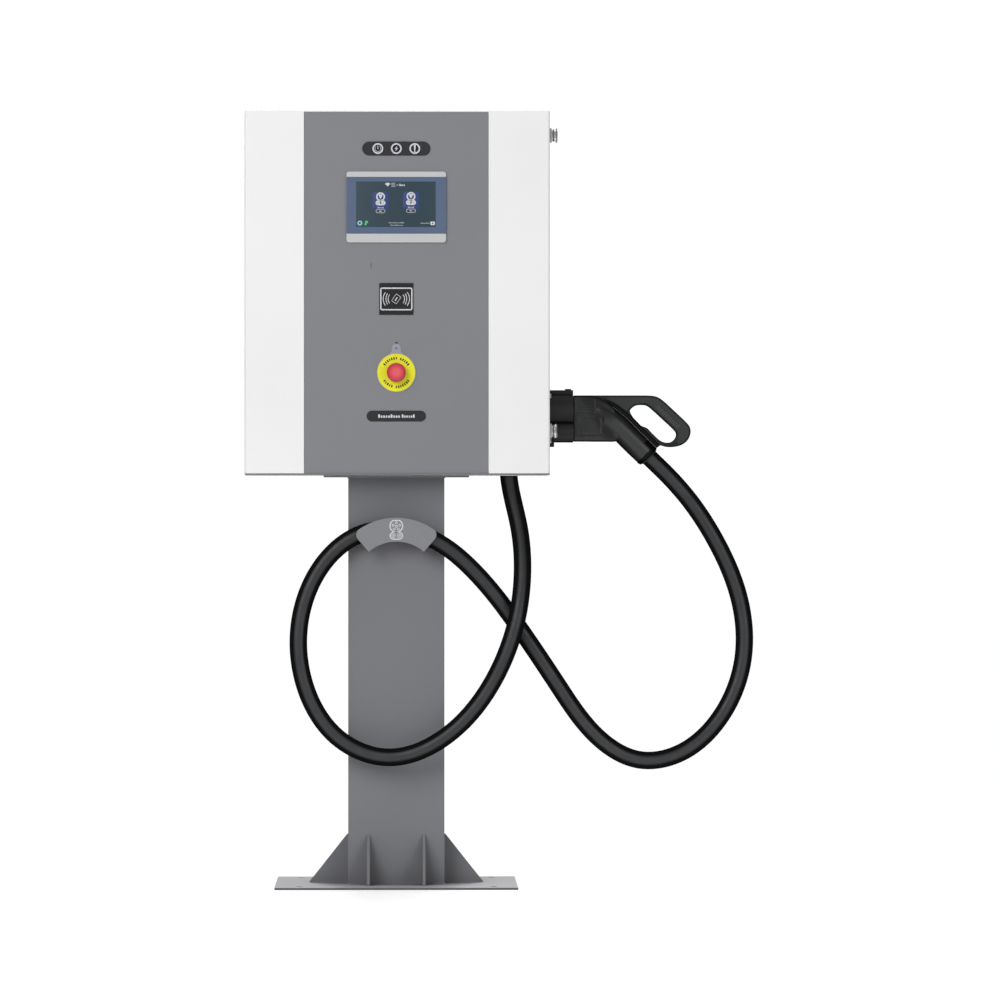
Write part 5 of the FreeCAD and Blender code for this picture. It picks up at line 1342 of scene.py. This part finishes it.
def make_stage():
    """A wide pale floor that fades into the white surroundings away from the post."""
    mesh = bpy.data.meshes.new("floor")
    span = 60.0
    corners = [(-span, -span, 0), (span, -span, 0), (span, span, 0), (-span, span, 0)]
    mesh.from_pydata(corners, [], [(0, 1, 2, 3)])
    floor = bpy.data.objects.new("floor", mesh)
    bpy.context.scene.collection.objects.link(floor)
    made = finish("floor_paint", (0.93, 0.93, 0.93, 1), 0.6, contrast=0.005)
    made.set(Emission_Color=(1, 1, 1, 1), Emission_Strength=0.38)
    far = made.add("ShaderNodeVectorMath", operation="LENGTH")
    made.link(made.place, far.inputs[0])
    rays = made.add("ShaderNodeLightPath")
    glow = made.add("ShaderNodeEmission")
    made.link(made.ranged(rays.outputs["Is Camera Ray"], 0, 1, 0.45, 1.02), glow.inputs["Strength"])
    mix = made.add("ShaderNodeMixShader")
    made.link(made.between(far.outputs["Value"], 0.5, 1.8, 0, 1), mix.inputs["Fac"])
    made.link(made.surface.outputs["BSDF"], mix.inputs[1])
    made.link(glow.outputs["Emission"], mix.inputs[2])
    output = made.tree.nodes["Material Output"]
    made.link(mix.outputs["Shader"], output.inputs["Surface"])
    mesh.materials.append(made.material)


def make_world():
    """White to the eye, softer and graded for the light it gives."""
    world = bpy.data.worlds.new("studio")
    bpy.context.scene.world = world
    world.use_nodes = True
    add, link = world.node_tree.nodes.new, world.node_tree.links.new
    world.node_tree.nodes.clear()
    output = add("ShaderNodeOutputWorld")
    to_eye = add("ShaderNodeBackground")
    to_eye.inputs["Color"].default_value = (1, 1, 1, 1)
    to_eye.inputs["Strength"].default_value = 1.05
    to_scene = add("ShaderNodeBackground")
    place = add("ShaderNodeTexCoord")
    split = add("ShaderNodeSeparateXYZ")
    ramp = add("ShaderNodeMapRange")
    for name, limit in (("From Min", -0.2), ("From Max", 0.9), ("To Min", 0.28), ("To Max", 0.46)):
        ramp.inputs[name].default_value = limit
    link(place.outputs["Generated"], split.inputs["Vector"])
    link(split.outputs["Z"], ramp.inputs["Value"])
    link(ramp.outputs["Result"], to_scene.inputs["Strength"])
    rays = add("ShaderNodeLightPath")
    mix = add("ShaderNodeMixShader")
    link(rays.outputs["Is Camera Ray"], mix.inputs["Fac"])
    link(to_scene.outputs["Background"], mix.inputs[1])
    link(to_eye.outputs["Background"], mix.inputs[2])
    link(mix.outputs["Shader"], output.inputs["Surface"])


def add_light(name, place, target, width, height, power):
    """A soft box aimed at a point."""
    data = bpy.data.lights.new(name, "AREA")
    data.shape = "RECTANGLE"
    data.size, data.size_y = width, height
    data.energy = power
    lamp = bpy.data.objects.new(name, data)
    lamp.location = place
    aim = Vector(target) - Vector(place)
    lamp.rotation_mode = "QUATERNION"
    lamp.rotation_quaternion = aim.to_track_quat("-Z", "Y")
    bpy.context.scene.collection.objects.link(lamp)


def make_lights():
    """Four soft boxes: the key, a fill, one overhead and one behind."""
    heart = (0.15, 0, 0.8)
    add_light("key_box", (-2.2, -3.6, 2.8), heart, 2.4, 2.8, 98)
    add_light("fill_box", (2.8, -3.4, 1.4), heart, 1.2, 2.4, 31)
    add_light("top_box", (0.2, 0.3, 4.2), heart, 2.6, 2.6, 16)
    add_light("back_box", (0.6, 3.6, 2.2), heart, 2.4, 2.0, 47)


def make_camera():
    """A distant long-lens camera, level with the middle of the post."""
    data = bpy.data.cameras.new("camera")
    data.sensor_width = 36
    data.lens = 243.6
    data.clip_end = 200
    camera = bpy.data.objects.new("camera", data)
    camera.location = (0, -13.1, 0.7377)
    aim = Vector((0.1988, -0.125, 0.7435)) - camera.location
    camera.rotation_mode = "QUATERNION"
    camera.rotation_quaternion = aim.to_track_quat("-Z", "Y")
    bpy.context.scene.collection.objects.link(camera)
    bpy.context.scene.camera = camera
    bpy.context.scene.view_settings.view_transform = "Standard"


make_stage()
make_world()
make_lights()
make_camera()
